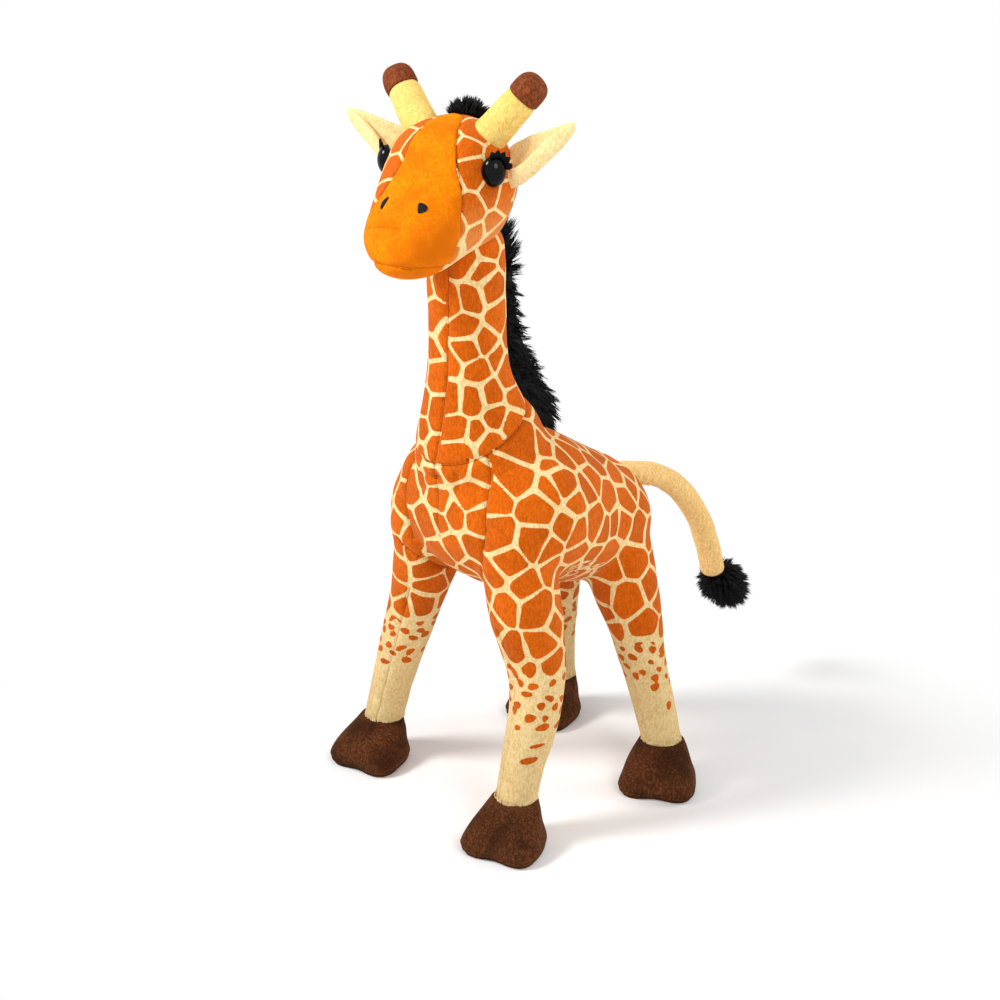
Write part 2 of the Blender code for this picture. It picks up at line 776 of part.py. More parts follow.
def leg_guide(name, ankle, hinge):
    """The lower end of the leg, grown by the gap, that the hoof is cut by."""
    swell = leg_radius + seam_gap
    path = [ankle + Vector((0, 0, leg_radius * 2))]
    wides = []
    for lift_share, wide_share in ankle_room_shares:
        path.append(ankle + Vector((0, 0, leg_radius * lift_share)))
        wides.append(swell * wide_share)
    path.append(ankle - Vector((0, 0, ankle_plug_depth + seam_gap)))
    return place(guide(object_of(name, ring_cage(path, wides, wides, room_around))), None, CUTTERS, hinge)


def make_tail(torso):
    root = Vector((0, body_back_y - tail_inset, body_middle_z + tail_pivot_rise))
    hinge = pivot("tail_root", root)
    path = [Vector((0, -tail_ball_radius, 0)), Vector((0, -tail_ball_radius * tail_ball_share, 0))]
    wides = [tail_ball_radius * math.sqrt(1 - tail_ball_share ** 2)]
    for along, rise in tail_shares:
        path.append(Vector((0, tail_reach * along, tail_drop * rise)))
        wides.append(tail_radius if along else tail_ball_radius)
    wides.pop()
    tail = soften(object_of("tail", ring_cage(path, wides, wides, small_around)))
    place(tail, material("tan_plush", TAN, 0.9), PARTS, hinge)
    opening = tail_ball_radius * tail_room_share
    cut(torso, ball_room("tail_room", root, tail_ball_radius, tail_fit_share, tail_swing_limit, opening,
                         Vector((0, 1, 0))))

    end = path[-1]
    down = (path[-1] - path[-2]).normalized()
    start = end - down * tuft_length * tuft_overlap_share
    way = down * tuft_length + Vector((0, tuft_length * tuft_sweep_share, 0))
    tuft_path = [start]
    rounds = []
    for along, wide in tuft_shares:
        tuft_path.append(start + way * along)
        rounds.append(tuft_radius * wide)
    tuft_path.append(start + way)
    tuft = soften(object_of("tail_tuft", ring_cage(tuft_path, rounds, rounds, small_around + 2)))
    place(tuft, material("black_fur_tuft", BLACK, 0.9), PARTS, hinge)
    room_wides = [w + seam_gap for w in wides]
    room_path = path[:-1] + [end + down * seam_gap]
    grown = soften(object_of("tail_grown", ring_cage(room_path, room_wides, room_wides, small_around)))
    place(guide(grown), None, CUTTERS, hinge)
    cut(tuft, grown)
    return tail


def make_mane(neck_guide, torso_guide):
    """A strip of fur that stands on the line of the neck's back, down to the withers."""
    upright = neck_top_y + neck_radius
    flare = mane_end_y - mane_height - upright
    backs = [upright + flare * share for share in mane_flare_shares] + [mane_end_y]
    tall = mane_top_z - mane_end_z
    path, wides, deeps = [], [], []
    for share, y in zip(mane_stand_shares, bend(backs, mane_stand_shares)):
        spot = Vector((0, y + mane_height * mane_out_share, mane_top_z - tall * share))
        path.append(spot - NECK.location)
    for share in mane_stand_shares[1:-1]:
        wides.append(mane_half_width)
        deeps.append(mane_height * (mane_deep_share + mane_swell_share * math.sin(math.pi * share)))
    mane = soften(object_of("mane", ring_cage(path, wides, deeps, small_around)))
    place(mane, material("black_fur_mane", BLACK, 0.9), PARTS, NECK)
    head_room = cutter_cylinder("head_turning_room", head_back_y + 3 * seam_gap, neck_top_z - neck_radius,
                                head_middle_z)
    cut(mane, neck_guide)
    cut(mane, torso_guide)
    cut(mane, head_room)
    return mane


def make_forelock(shell):
    """A small oval of fur on the crown, between the horns."""
    path, wides, deeps = [], [], []
    count = 6
    for i in range(count + 1):
        share = i / count
        y = forelock_y + forelock_length * (0.5 - share)
        path.append(Vector((0, y, head_middle_z + forelock_rise)))
        if 0 < i < count:
            swell = math.sqrt(math.sin(math.pi * share))
            wides.append(forelock_half_width * swell)
            deeps.append(forelock_height * swell)
    lock = soften(object_of("forelock", ring_cage(path, wides, deeps, small_around)))
    place(lock, material("black_fur_forelock", BLACK, 0.9), PARTS, HEAD)
    cut(lock, shell)
    return lock


def grown_neck(name):
    """The neck with the gap added, that the mane is cut by."""
    obj = neck_form(name)
    grow = obj.modifiers.new("Grow", "DISPLACE")
    grow.strength = seam_gap
    grow.mid_level = 0
    return place(guide(obj), None, CUTTERS, NECK)


def main():
    torso = torso_form("torso")
    place(torso, material("printed_plush_torso", ORANGE, 0.9), PARTS)
    opening = neck_ball_radius * neck_room_share
    up = Vector((0, 0, 1))
    cut(torso, ball_room("neck_room", NECK.location, neck_ball_radius, neck_fit_share, neck_bow_limit,
                         opening, up))

    neck = neck_form("neck")
    place(neck, material("printed_plush_neck", ORANGE, 0.9), PARTS, NECK)

    head = make_head()
    shell = head_guide("head_shell", seam_gap)
    for label, side, ear_lift in (("left", 1, ear_left_lift), ("right", -1, ear_right_lift)):
        make_eye(label, side, head)
        make_horn(label, side, shell)
        make_ear(label, side, ear_lift, head)
    make_forelock(shell)

    straight = Vector((0, 0, 0))
    bowed = Vector((front_left_knee_out, front_left_knee_back, 0))
    front_right = Vector((-front_hip_side, front_hip_y, front_hip_z))
    front_left = Vector((front_hip_side, front_hip_y, front_hip_z))
    rear_right = Vector((-rear_hip_side, rear_hip_y, rear_hip_z))
    rear_left = Vector((rear_hip_side, rear_hip_y, rear_hip_z))
    legs = (
        ("front_right", front_right, -front_right_ankle_out, front_right_ankle_back, straight,
         front_right_hoof_turn, front_right_shares),
        ("front_left", front_left, front_left_ankle_out, front_left_ankle_back, bowed,
         front_left_hoof_turn, front_left_shares),
        ("rear_right", rear_right, -rear_right_ankle_out, rear_right_ankle_back, straight,
         rear_right_hoof_turn, rear_shares),
        ("rear_left", rear_left, rear_left_ankle_out, rear_left_ankle_back, straight,
         rear_left_hoof_turn, rear_shares),
    )
    for label, hip, ankle_x, ankle_back, knee, turn, swells in legs:
        ankle = Vector((hip.x + ankle_x, hip.y + ankle_back, ankle_z))
        make_leg(label, hip, ankle, knee, turn, torso, swells)
    make_tail(torso)
    torso_guide = place(guide(torso_form("torso_grown", seam_gap)), None, CUTTERS)
    make_mane(grown_neck("neck_grown"), torso_guide)


clear_scene()
PARTS = new_collection("Plush giraffe")
CUTTERS = new_collection("Cutters", hidden=True)
STANCE = None
STANCE = pivot("stance", (-stance_middle_x, -stance_middle_y, 0))
NECK = pivot("neck_bow", (0, neck_pivot_y, neck_pivot_z))
HEAD = pivot("head_turn", (0, neck_top_y - neck_pivot_y, -neck_pivot_z), NECK, head_rest_turn)
main()
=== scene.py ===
import contextlib
import math

import bpy
import numpy as np
from mathutils import Matrix, Vector
from mathutils.kdtree import KDTree


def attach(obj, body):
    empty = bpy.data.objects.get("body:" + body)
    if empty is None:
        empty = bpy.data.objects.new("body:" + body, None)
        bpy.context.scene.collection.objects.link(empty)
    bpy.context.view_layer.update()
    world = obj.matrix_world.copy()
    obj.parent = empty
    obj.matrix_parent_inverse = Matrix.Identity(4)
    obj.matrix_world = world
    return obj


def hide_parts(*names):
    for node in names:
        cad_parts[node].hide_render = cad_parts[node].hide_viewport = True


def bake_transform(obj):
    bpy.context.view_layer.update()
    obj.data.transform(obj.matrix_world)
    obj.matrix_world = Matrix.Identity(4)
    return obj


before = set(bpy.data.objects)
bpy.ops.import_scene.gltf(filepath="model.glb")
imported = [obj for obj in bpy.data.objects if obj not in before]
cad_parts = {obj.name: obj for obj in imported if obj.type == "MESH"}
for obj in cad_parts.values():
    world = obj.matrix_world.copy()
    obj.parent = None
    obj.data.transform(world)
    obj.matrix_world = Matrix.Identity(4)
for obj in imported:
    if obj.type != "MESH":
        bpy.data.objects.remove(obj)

bl_info = {
    "name": "Plush giraffe",
    "version": (1, 0, 0),
    "blender": (4, 5, 0),
    "location": "3D View > Sidebar > Giraffe",
    "description": "Builds a stuffed giraffe, its prints, its fur and a small studio",
    "category": "Object",
}

# The middle of the giraffe's body, from side to side, in the shared frame
MIDDLE_X = 0.00443
NECK_LINE = Vector((0.00443, -0.07902, 0.0))
HEAD_TURN = math.radians(14)
ANKLE_Z = 0.0235
# The seam between neck and shoulders is a plane through this place that rises to the back
NECK_SEAM_Y, NECK_SEAM_Z, NECK_SEAM_RISE = -0.1009, 0.2027, 0.56
NECK_ABOVE_Z = 0.185
# Cloth this near to a seam lies on it, and cloth this far away has no seam near it
ON_SEAM, FAR = 3e-6, 0.03

HIPS = {
    "front_left": ((0.03893, -0.07512, 0.142), (0.05113, -0.08892), (0.0075, 0.0085), 20),
    "front_right": ((-0.03007, -0.07512, 0.142), (-0.07017, -0.07892), (0, 0), 14),
    "rear_left": ((0.02943, 0.00588, 0.136), (0.05953, 0.01598), (0, 0), 34),
    "rear_right": ((-0.02057, 0.00588, 0.136), (-0.04077, 0.03248), (0, 0), 8),
}
THIGHS = {
    "front_left": ((0.17, 0.92), (0.38, 0.46), (0.60, 0.28), (0.84, 0.0), (1.0, 0.0)),
    "front_right": ((0.17, 0.62), (0.38, 0.30), (0.62, 0.15), (0.86, 0.02), (1.0, 0.0)),
    "rear_left": ((0.20, 0.86), (0.40, 0.42), (0.62, 0.14), (0.86, 0.0), (1.0, 0.0)),
    "rear_right": ((0.20, 0.86), (0.40, 0.42), (0.62, 0.14), (0.86, 0.0), (1.0, 0.0)),
}


# Working with objects

def deselect():
    bpy.ops.object.select_all(action="DESELECT")


def only(obj):
    deselect()
    obj.select_set(True)
    bpy.context.view_layer.objects.active = obj
    return obj


@contextlib.contextmanager
def editing(obj):
    """Edit mode on this object alone, with its whole mesh selected."""
    only(obj)
    bpy.ops.object.mode_set(mode="EDIT")
    bpy.ops.mesh.select_all(action="SELECT")
    yield
    bpy.ops.object.mode_set(mode="OBJECT")


def ball(name, segments, rings):
    """A sphere of radius 1, whose vertices are then moved."""
    deselect()
    bpy.ops.mesh.primitive_uv_sphere_add(segments=segments, ring_count=rings, radius=1)
    bpy.context.object.name = name
    return bpy.context.object


def sheet(name, columns, rows):
    """A flat grid from -1 to 1, whose vertices are then moved."""
    deselect()
    bpy.ops.mesh.primitive_grid_add(x_subdivisions=columns, y_subdivisions=rows, size=2)
    bpy.context.object.name = name
    return bpy.context.object


def modify(obj, kind, **settings):
    """Adds a modifier with these settings and applies it."""
    only(obj)
    bpy.ops.object.modifier_add(type=kind)
    made = obj.modifiers[-1]
    for name, value in settings.items():
        setattr(made, name, value)
    bpy.ops.object.modifier_apply(modifier=made.name)
    return obj


def points(obj):
    co = np.empty(len(obj.data.vertices) * 3, np.float32)
    obj.data.vertices.foreach_get("co", co)
    return co.reshape(-1, 3).astype(float)


def set_points(obj, co):
    obj.data.vertices.foreach_set("co", np.asarray(co, np.float32).ravel())
    obj.data.update()


def normals(obj):
    found = np.empty(len(obj.data.vertices) * 3, np.float32)
    obj.data.vertex_normals.foreach_get("vector", found)
    return found.reshape(-1, 3).astype(float)


def swell(obj, amount):
    """Moves each vertex outwards by its own amount."""
    set_points(obj, points(obj) + normals(obj) * np.asarray(amount)[:, None])


def edges(obj):
    found = np.empty(len(obj.data.edges) * 2, np.int32)
    obj.data.edges.foreach_get("vertices", found)
    return found.reshape(-1, 2)


def store(obj, name, values):
    """Keeps one number or one vector for each vertex, for the materials to read."""
    values = np.asarray(values, np.float32)
    kind = "FLOAT" if values.ndim == 1 else "FLOAT_VECTOR"
    kept = obj.data.attributes.get(name) or obj.data.attributes.new(name, kind, "POINT")
    kept.data.foreach_set("value" if values.ndim == 1 else "vector", values.ravel())


def stored(obj, name, vector=False):
    kept = obj.data.attributes[name]
    out = np.empty(len(obj.data.vertices) * (3 if vector else 1), np.float32)
    kept.data.foreach_get("vector" if vector else "value", out)
    return out.reshape(-1, 3).astype(float) if vector else out.astype(float)


def smooth_between(value, low, high):
    t = np.clip((value - low) / (high - low), 0, 1)
    return t * t * (3 - 2 * t)


def lumps(co, size, seed):
    """Slow swells over a surface, from -1 to 1, the same ones each time."""
    made = np.random.default_rng(seed)
    total = np.zeros(len(co))
    for _ in range(9):
        way = made.normal(size=3)
        way /= np.linalg.norm(way)
        pitch = 2 * math.pi / size
        total += np.sin(co @ way * pitch * made.uniform(0.7, 1.4) + made.uniform(0, 6.3))
    return total / 4


def ringed(name, path, wides, deeps, around, side=(1, 0, 0), levels=2):
    """A round form: a sphere whose rings are moved to stations along a path, softened."""
    rings = len(path) - 2
    obj = ball(name, around, rings + 1)
    side = Vector(side)
    path = [Vector(p) for p in path]
    # Softening draws the corners of a ring in, so they start further out
    widen = 1 / math.cos(math.pi / around)
    for vertex in obj.data.vertices:
        row = round(math.acos(max(-1, min(1, vertex.co.z))) / math.pi * (rings + 1))
        if row in (0, rings + 1):
            vertex.co = path[row]
            continue
        angle = math.atan2(vertex.co.y, vertex.co.x)
        along = (path[row + 1] - path[row - 1]).normalized()
        across = (side - along * side.dot(along)).normalized()
        third = along.cross(across)
        vertex.co = (path[row] + across * wides[row - 1] * math.cos(angle) * widen
                     + third * deeps[row - 1] * math.sin(angle) * widen)
    if levels:
        modify(obj, "SUBSURF", levels=levels, render_levels=levels)
    outward(obj)
    return obj


def outward(obj):
    with editing(obj):
        bpy.ops.mesh.normals_make_consistent(inside=False)
    return obj


def joined(name, objs):
    deselect()
    for obj in objs:
        obj.select_set(True)
    bpy.context.view_layer.objects.active = objs[0]
    bpy.ops.object.join()
    objs[0].name = name
    return objs[0]


def felted(obj, voxel, rounds):
    """One even skin around everything in the object, with its hollows filled softly."""
    modify(obj, "REMESH", mode="VOXEL", voxel_size=voxel, adaptivity=0)
    modify(obj, "SMOOTH", factor=0.5, iterations=rounds)
    return obj


def triangles(obj):
    modify(obj, "TRIANGULATE")
    return obj


# Seams

def fit_seam(obj, field, where):
    """Moves vertices along their edges until the line where the field is nought runs along edges.

    field gives one signed number for each vertex, and where is the part in which the seam runs.
    """
    pairs = edges(obj)
    co = points(obj)
    for _ in range(12):
        value, inside = field(co), where(co)
        value[np.abs(value) < 1e-7] = 0
        a, b = pairs[:, 0], pairs[:, 1]
        crossing = (value[a] * value[b] < 0) & inside[a] & inside[b]
        a, b = a[crossing], b[crossing]
        if not len(a):
            break
        share = value[a] / (value[a] - value[b])
        near = np.where(share < 0.5, a, b)
        spot = co[a] + (co[b] - co[a]) * share[:, None]
        order = np.argsort(-np.minimum(share, 1 - share))
        co[near[order]] = spot[order]
    set_points(obj, co)
    value, inside = field(co), where(co)
    on = (np.abs(value) < 2e-6) & inside
    both = on[pairs[:, 0]] & on[pairs[:, 1]]
    return value, co[pairs[both]]


def seam_distance(obj, lines):
    """How far each vertex is from the nearest of these line pieces, up to FAR."""
    if not len(lines):
        return np.full(len(obj.data.vertices), FAR)
    steps = np.linspace(0, 1, 9)[None, :, None]
    dots = (lines[:, :1] + (lines[:, 1:] - lines[:, :1]) * steps).reshape(-1, 3)
    tree = KDTree(len(dots))
    for i, dot in enumerate(dots):
        tree.insert(dot, i)
    tree.balance()
    return np.array([min(FAR, tree.find(p)[2]) for p in points(obj)])


def press(obj, distance, depth, width):
    """Draws the surface in along a seam."""
    swell(obj, -depth * np.exp(-(np.asarray(distance) / width) ** 2))


def split_off(obj, chosen, name):
    """The faces whose vertices all lie in the chosen part become a piece of their own."""
    only(obj)
    faces = np.array([all(chosen[v] for v in face.vertices) for face in obj.data.polygons])
    obj.data.polygons.foreach_set("select", faces)
    obj.data.edges.foreach_set("select", np.zeros(len(obj.data.edges), bool))
    obj.data.vertices.foreach_set("select", np.zeros(len(obj.data.vertices), bool))
    bpy.ops.object.mode_set(mode="EDIT")
    bpy.ops.mesh.select_mode(type="FACE")
    bpy.ops.mesh.separate(type="SELECTED")
    bpy.ops.object.mode_set(mode="OBJECT")
    made = [o for o in bpy.context.selected_objects if o is not obj][0]
    made.name = name
    made.data.name = name
    return made


def keep_normals(obj):
    """The piece is closed, and keeps the shading of the whole skin that it was cut from."""
    closed(obj)
    obj.data.shade_smooth()
    obj.data.normals_split_custom_set_from_vertices(stored(obj, "skin_normal", True))
    return obj


def closed(obj):
    """Closes the open ends of a piece, which lie inside the toy."""
    with editing(obj):
        bpy.ops.mesh.select_mode(type="VERT")
        bpy.ops.mesh.select_all(action="SELECT")
        bpy.ops.mesh.fill_holes(sides=0)
        bpy.ops.mesh.quads_convert_to_tris()
    return obj


def finished(obj, material):
    obj.data.materials.clear()
    obj.data.materials.append(material)
    return obj


# Materials

def group(name, inputs, outputs):
    tree = bpy.data.node_groups.new(name, "ShaderNodeTree")
    for label, kind, value in inputs:
        made = tree.interface.new_socket(name=label, in_out="INPUT", socket_type=kind)
        if value is not None:
            made.default_value = value
    for label, kind in outputs:
        tree.interface.new_socket(name=label, in_out="OUTPUT", socket_type=kind)
    return tree, tree.nodes.new("NodeGroupInput"), tree.nodes.new("NodeGroupOutput")


class Tree:
    """Short ways to add and join nodes."""

    def __init__(self, tree):
        self.tree = tree

    def node(self, kind, inputs=None, **settings):
        made = self.tree.nodes.new(kind)
        for name, value in settings.items():
            setattr(made, name, value)
        self.give(made, inputs or {})
        return made

    def give(self, node, inputs):
        for name, value in inputs.items():
            self.feed(node.inputs[name], value)

    def feed(self, socket, value):
        if isinstance(value, bpy.types.NodeSocket):
            self.tree.links.new(value, socket)
        else:
            socket.default_value = value

    def math(self, operation, a, b=0.0, c=0.0, clamp=False):
        made = self.tree.nodes.new("ShaderNodeMath")
        made.operation = operation
        made.use_clamp = clamp
        for socket, value in zip(made.inputs, (a, b, c)):
            self.feed(socket, value)
        return made.outputs[0]

    def vector(self, operation, a, b=(0, 0, 0), scale=1.0):
        made = self.tree.nodes.new("ShaderNodeVectorMath")
        made.operation = operation
        self.feed(made.inputs[0], a)
        self.feed(made.inputs[1], b)
        if operation == "SCALE":
            self.feed(made.inputs["Scale"], scale)
        return made.outputs[0]

    def ramp(self, value, low, high, to_low=0.0, to_high=1.0, smooth=True):
        made = self.node("ShaderNodeMapRange", interpolation_type="SMOOTHSTEP" if smooth else "LINEAR")
        for name, given in zip(("Value", "From Min", "From Max", "To Min", "To Max"),
                               (value, low, high, to_low, to_high)):
            self.feed(made.inputs[name], given)
        return made.outputs[0]

    def mix(self, share, a, b, kind="RGBA", blend="MIX"):
        made = self.node("ShaderNodeMix", data_type=kind, blend_type=blend)
        spots = {"RGBA": (0, 6, 7, 2), "FLOAT": (0, 2, 3, 0)}[kind]
        self.feed(made.inputs[spots[0]], share)
        self.feed(made.inputs[spots[1]], a)
        self.feed(made.inputs[spots[2]], b)
        return made.outputs[spots[3]]

    def noise(self, vector, scale, detail=2.0, rough=0.5):
        made = self.node("ShaderNodeTexNoise", {"Vector": vector, "Scale": scale, "Detail": detail,
                                                "Roughness": rough})
        return made.outputs[0]

    def attribute(self, name, out="Fac"):
        made = self.node("ShaderNodeAttribute", attribute_name=name)
        return made.outputs[out]


def pile_group():
    """Short nap: a height, and a shade that runs from dark between the hairs to light on their tips."""
    tree, given, out = group("Pile", [
        ("Vector", "NodeSocketVector", None), ("Size", "NodeSocketFloat", 1.0),
    ], [("Height", "NodeSocketFloat"), ("Shade", "NodeSocketFloat")])
    t = Tree(tree)
    size = given.outputs["Size"]
    at = t.vector("SCALE", given.outputs["Vector"], scale=t.math("DIVIDE", 1.0, size))
    lean = t.vector("MULTIPLY", at, (1.0, 1.0, 0.42))
    hairs = t.noise(lean, 2600.0, 2.0, 0.6)
    tufts = t.noise(lean, 900.0, 2.0, 0.55)
    brushed = t.noise(at, 130.0, 3.0, 0.6)
    height = t.math("ADD", t.math("MULTIPLY", hairs, 0.45),
                    t.math("ADD", t.math("MULTIPLY", tufts, 0.55), t.math("MULTIPLY", brushed, 0.6)))
    shade = t.math("ADD", t.ramp(hairs, 0.36, 0.64, -0.34, 0.34),
                   t.math("ADD", t.ramp(tufts, 0.34, 0.66, -0.36, 0.36),
                          t.ramp(brushed, 0.30, 0.70, -0.14, 0.14)))
    t.feed(out.inputs["Height"], height)
    t.feed(out.inputs["Shade"], shade)
    return tree


def new_material(name):
    made = bpy.data.materials.new(name)
    made.use_nodes = True
    made.node_tree.nodes.clear()
    t = Tree(made.node_tree)
    shader = t.node("ShaderNodeBsdfPrincipled")
    out = t.node("ShaderNodeOutputMaterial")
    t.feed(out.inputs["Surface"], shader.outputs[0])
    return made, t, shader


def plush(name, props, groups, colour, dark, light, glow, sheen=0.22, nap=1.0, seams=0.72, prints=None,
          brushed=0.0):
    """Short-pile cloth.

    seams is how dark a seam is, prints the colour of the patches and its darker shade, and brushed
    how much darker the strokes are in which the nap lies the other way.
    """
    made, t, shader = new_material(name)
    at = t.attribute("cloth", "Vector")
    pile = t.node("ShaderNodeGroup", {}, node_tree=groups["pile"])
    t.feed(pile.inputs["Vector"], at)
    t.feed(pile.inputs["Size"], nap)
    shade = pile.outputs["Shade"]
    down = t.math("MAXIMUM", t.math("MULTIPLY", shade, -1.0), 0.0)
    up = t.math("MAXIMUM", shade, 0.0)
    ground = t.mix(up, t.mix(down, (*colour, 1), (*dark, 1)), (*light, 1))
    if brushed:
        stroke = t.ramp(t.noise(at, 62.0, 3.0, 0.6), 0.42, 0.64)
        ground = t.mix(t.math("MULTIPLY", stroke, brushed), ground, (*dark, 1))
        # Painted shade where the head marks it, broken up by the strokes
        flat = t.math("MULTIPLY", t.attribute("muzzle_painted_shade"), t.math("MULTIPLY_ADD", stroke, 0.35, 0.55))
        ground = t.mix(flat, ground, (*dark, 1))
    paint = ground
    if prints:
        ragged = t.math("MULTIPLY_ADD", t.noise(at, 1500.0, 2.0), 0.0005, -0.00025)
        patch = t.ramp(t.math("ADD", t.attribute("patch_depth"), ragged), -0.00013, 0.00013)
        one, two = prints
        tone = t.mix(t.attribute("patch_tone"), (*one, 1), (*two, 1))
        washed = tuple(c * k for c, k in zip(one, (1.22, 2.6, 60.0)))
        tone = t.mix(t.attribute("patch_fade"), tone, (*washed, 1))
        tone = t.mix(t.math("MULTIPLY", down, 0.8), tone, tuple(c * 0.50 for c in one) + (1,))
        tone = t.mix(t.math("MULTIPLY", up, 0.75), tone, tuple(min(1, c * 1.3 + 0.01) for c in one) + (1,))
        paint = t.mix(patch, ground, tone)
        # Painted shade: the cloth of the lower legs is darkened towards the ground, where less light falls
        high = t.node("ShaderNodeSeparateXYZ", {0: at}).outputs["Z"]
        low = t.ramp(high, 0.045, 0.150, 1.0, 0.0, smooth=False)
        paint = t.mix(t.math("MULTIPLY", low, 0.55), paint,
                      t.mix(1.0, paint, (0.60, 0.56, 0.52, 1), blend="MULTIPLY"))
    height = t.math("MULTIPLY", pile.outputs["Height"], props.pile_height)
    # Seams get a dark line. The same line on the creases and on the muzzle's fold is painted shade
    if seams:
        gap = t.attribute("seam")
        uneven = t.noise(at, 900.0, 1.0)
        wide = t.math("MULTIPLY_ADD", uneven, 0.0005, 0.00004)
        line = t.ramp(gap, 0.0, wide, 1.0, 0.0)
        paint = t.mix(t.math("MULTIPLY", line, seams), paint,
                      t.mix(1.0, paint, (0.16, 0.07, 0.03, 1), blend="MULTIPLY"))
        fold = t.ramp(gap, 0.0, 0.0013, -0.00045, 0.0)
        height = t.math("ADD", height, fold)
    bump = t.node("ShaderNodeBump", {"Height": height, "Distance": 1.0, "Strength": 1.0})
    t.give(shader, {"Base Color": paint, "Normal": bump.outputs[0], "Roughness": 0.92,
                    "Specular IOR Level": 0.10, "Sheen Weight": sheen, "Sheen Roughness": 0.42,
                    "Sheen Tint": (*glow, 1)})
    return made


def fur_material():
    made, t, shader = new_material("Black fur")
    tip = t.attribute("strand")
    # Painted shade and light along each hair: darker towards the root, lighter towards the tip
    tone = t.mix(tip, (0.0015, 0.0015, 0.0018, 1), (0.007, 0.007, 0.008, 1))
    t.give(shader, {"Base Color": tone, "Roughness": 0.55, "Specular IOR Level": 0.22})
    return made


def pile_material():
    """The cut ends of the cream cloth's pile."""
    made, t, shader = new_material("Cream pile")
    tip = t.attribute("strand")
    # Painted shade and light along each hair: darker towards the root, lighter towards the tip
    t.give(shader, {"Base Color": t.mix(tip, (0.86, 0.62, 0.28, 1), (1.0, 0.86, 0.54, 1)),
                    "Roughness": 0.9, "Specular IOR Level": 0.1, "Sheen Weight": 0.1})
    return made


def eye_material():
    made, t, shader = new_material("Eye gloss")
    at = t.node("ShaderNodeTexCoord").outputs["Object"]
    wear = t.ramp(t.noise(at, 260.0, 3.0), 0.35, 0.8, 0.03, 0.06)
    t.give(shader, {"Base Color": (0.0012, 0.0010, 0.0010, 1), "Roughness": wear,
                    "Specular IOR Level": 0.16})
    return made


def felt_material(name, colour, scale=1800.0):
    made, t, shader = new_material(name)
    at = t.node("ShaderNodeTexCoord").outputs["Object"]
    fibres = t.noise(at, scale, 4.0, 0.65)
    bright = tuple(c * 2.0 + 0.002 for c in colour)
    tone = t.mix(t.ramp(fibres, 0.35, 0.65), (*colour, 1), (*bright, 1))
    bump = t.node("ShaderNodeBump", {"Height": t.math("MULTIPLY", fibres, 0.0003), "Distance": 1.0})
    t.give(shader, {"Base Color": tone, "Normal": bump.outputs[0], "Roughness": 0.9,
                    "Specular IOR Level": 0.15})
    return made


def thread_material():
    """Satin stitches, side by side."""
    made, t, shader = new_material("Black thread")
    at = t.node("ShaderNodeTexCoord").outputs["Object"]
    lines = t.node("ShaderNodeTexWave", {"Vector": at, "Scale": 700.0, "Distortion": 1.5, "Detail": 1.0},
                   bands_direction="X").outputs["Fac"]
    bump = t.node("ShaderNodeBump", {"Height": t.math("MULTIPLY", lines, 0.00025), "Distance": 1.0})
    tone = t.mix(lines, (0.002, 0.002, 0.002, 1), (0.009, 0.008, 0.007, 1))
    t.give(shader, {"Base Color": tone, "Normal": bump.outputs[0], "Roughness": 0.6,
                    "Specular IOR Level": 0.2})
    return made


def tones(colour, *shares):
    """A cloth's colour, then what each share makes of its red, green and blue."""
    made = [tuple(colour)]
    for share in shares:
        made.append(tuple(min(1.0, c * part) for c, part in zip(colour, share)))
    return made


def make_materials(props, colors):
    groups = {"pile": pile_group()}
    # Colour, shade between the hairs, light on their tips, and the glow along the outline
    cream = tones(colors.cream, (0.682, 0.600, 0.500), (1.114, 1.246, 1.533), (1.136, 0.954, 1.000))
    horn = tones(colors.horn, (0.717, 0.625, 0.471), (1.065, 1.250, 1.882), (1.087, 1.188, 2.000))
    pale = tones(colors.ear, (0.742, 0.671, 0.559), (1.031, 1.178, 1.529), (1.031, 1.151, 1.471))
    gold = tones(colors.gold, (0.710, 0.622, 0.000), (1.075, 1.511, 1.000), (1.075, 1.867, 0.000))
    brown = tones(colors.hoof, (0.231, 0.213, 0.206), (2.436, 2.894, 3.529), (7.690, 11.06, 16.20))
    cap = tones(colors.cap, (0.500, 0.463, 0.462), (1.889, 2.439, 2.462), (5.000, 8.540, 9.230))
    tan = tones(colors.tail, (0.674, 0.582, 0.450), (1.128, 1.309, 1.800), (1.163, 1.345, 2.000))
    patch = tones(colors.patch, (0.716, 0.639, 0.500))
    return {
        "print": plush("Printed plush", props, groups, *cream, prints=patch),
        "horn": plush("Horn plush", props, groups, *horn, seams=0),
        "pale": plush("Pale plush", props, groups, *pale, seams=0),
        "gold": plush("Golden plush", props, groups, *gold, sheen=0.05, nap=1.2, seams=0.40, brushed=0.55),
        "brown": plush("Brown plush", props, groups, *brown, sheen=0.14, nap=1.05, brushed=0.72),
        "cap": plush("Cap plush", props, groups, *cap, sheen=0.14, nap=1.1, seams=0),
        "tan": plush("Tan plush", props, groups, *tan, seams=0),
        "fur": fur_material(),
        "pile": pile_material(),
        "eye": eye_material(),
        "lash": felt_material("Black felt", (0.0025, 0.0025, 0.0025)),
        "thread": thread_material(),
    }


MATERIALS = {}


def material(name):
    if not MATERIALS:
        MATERIALS.update(make_materials(bpy.context.scene.giraffe_cloth, bpy.context.scene.giraffe_colors))
    return MATERIALS[name]


def clothe(obj, seam=None):
    """The places that the nap is read from, as they are when the toy stands at rest."""
    store(obj, "cloth", points(obj))
    store(obj, "seam", np.full(len(obj.data.vertices), FAR) if seam is None else seam)


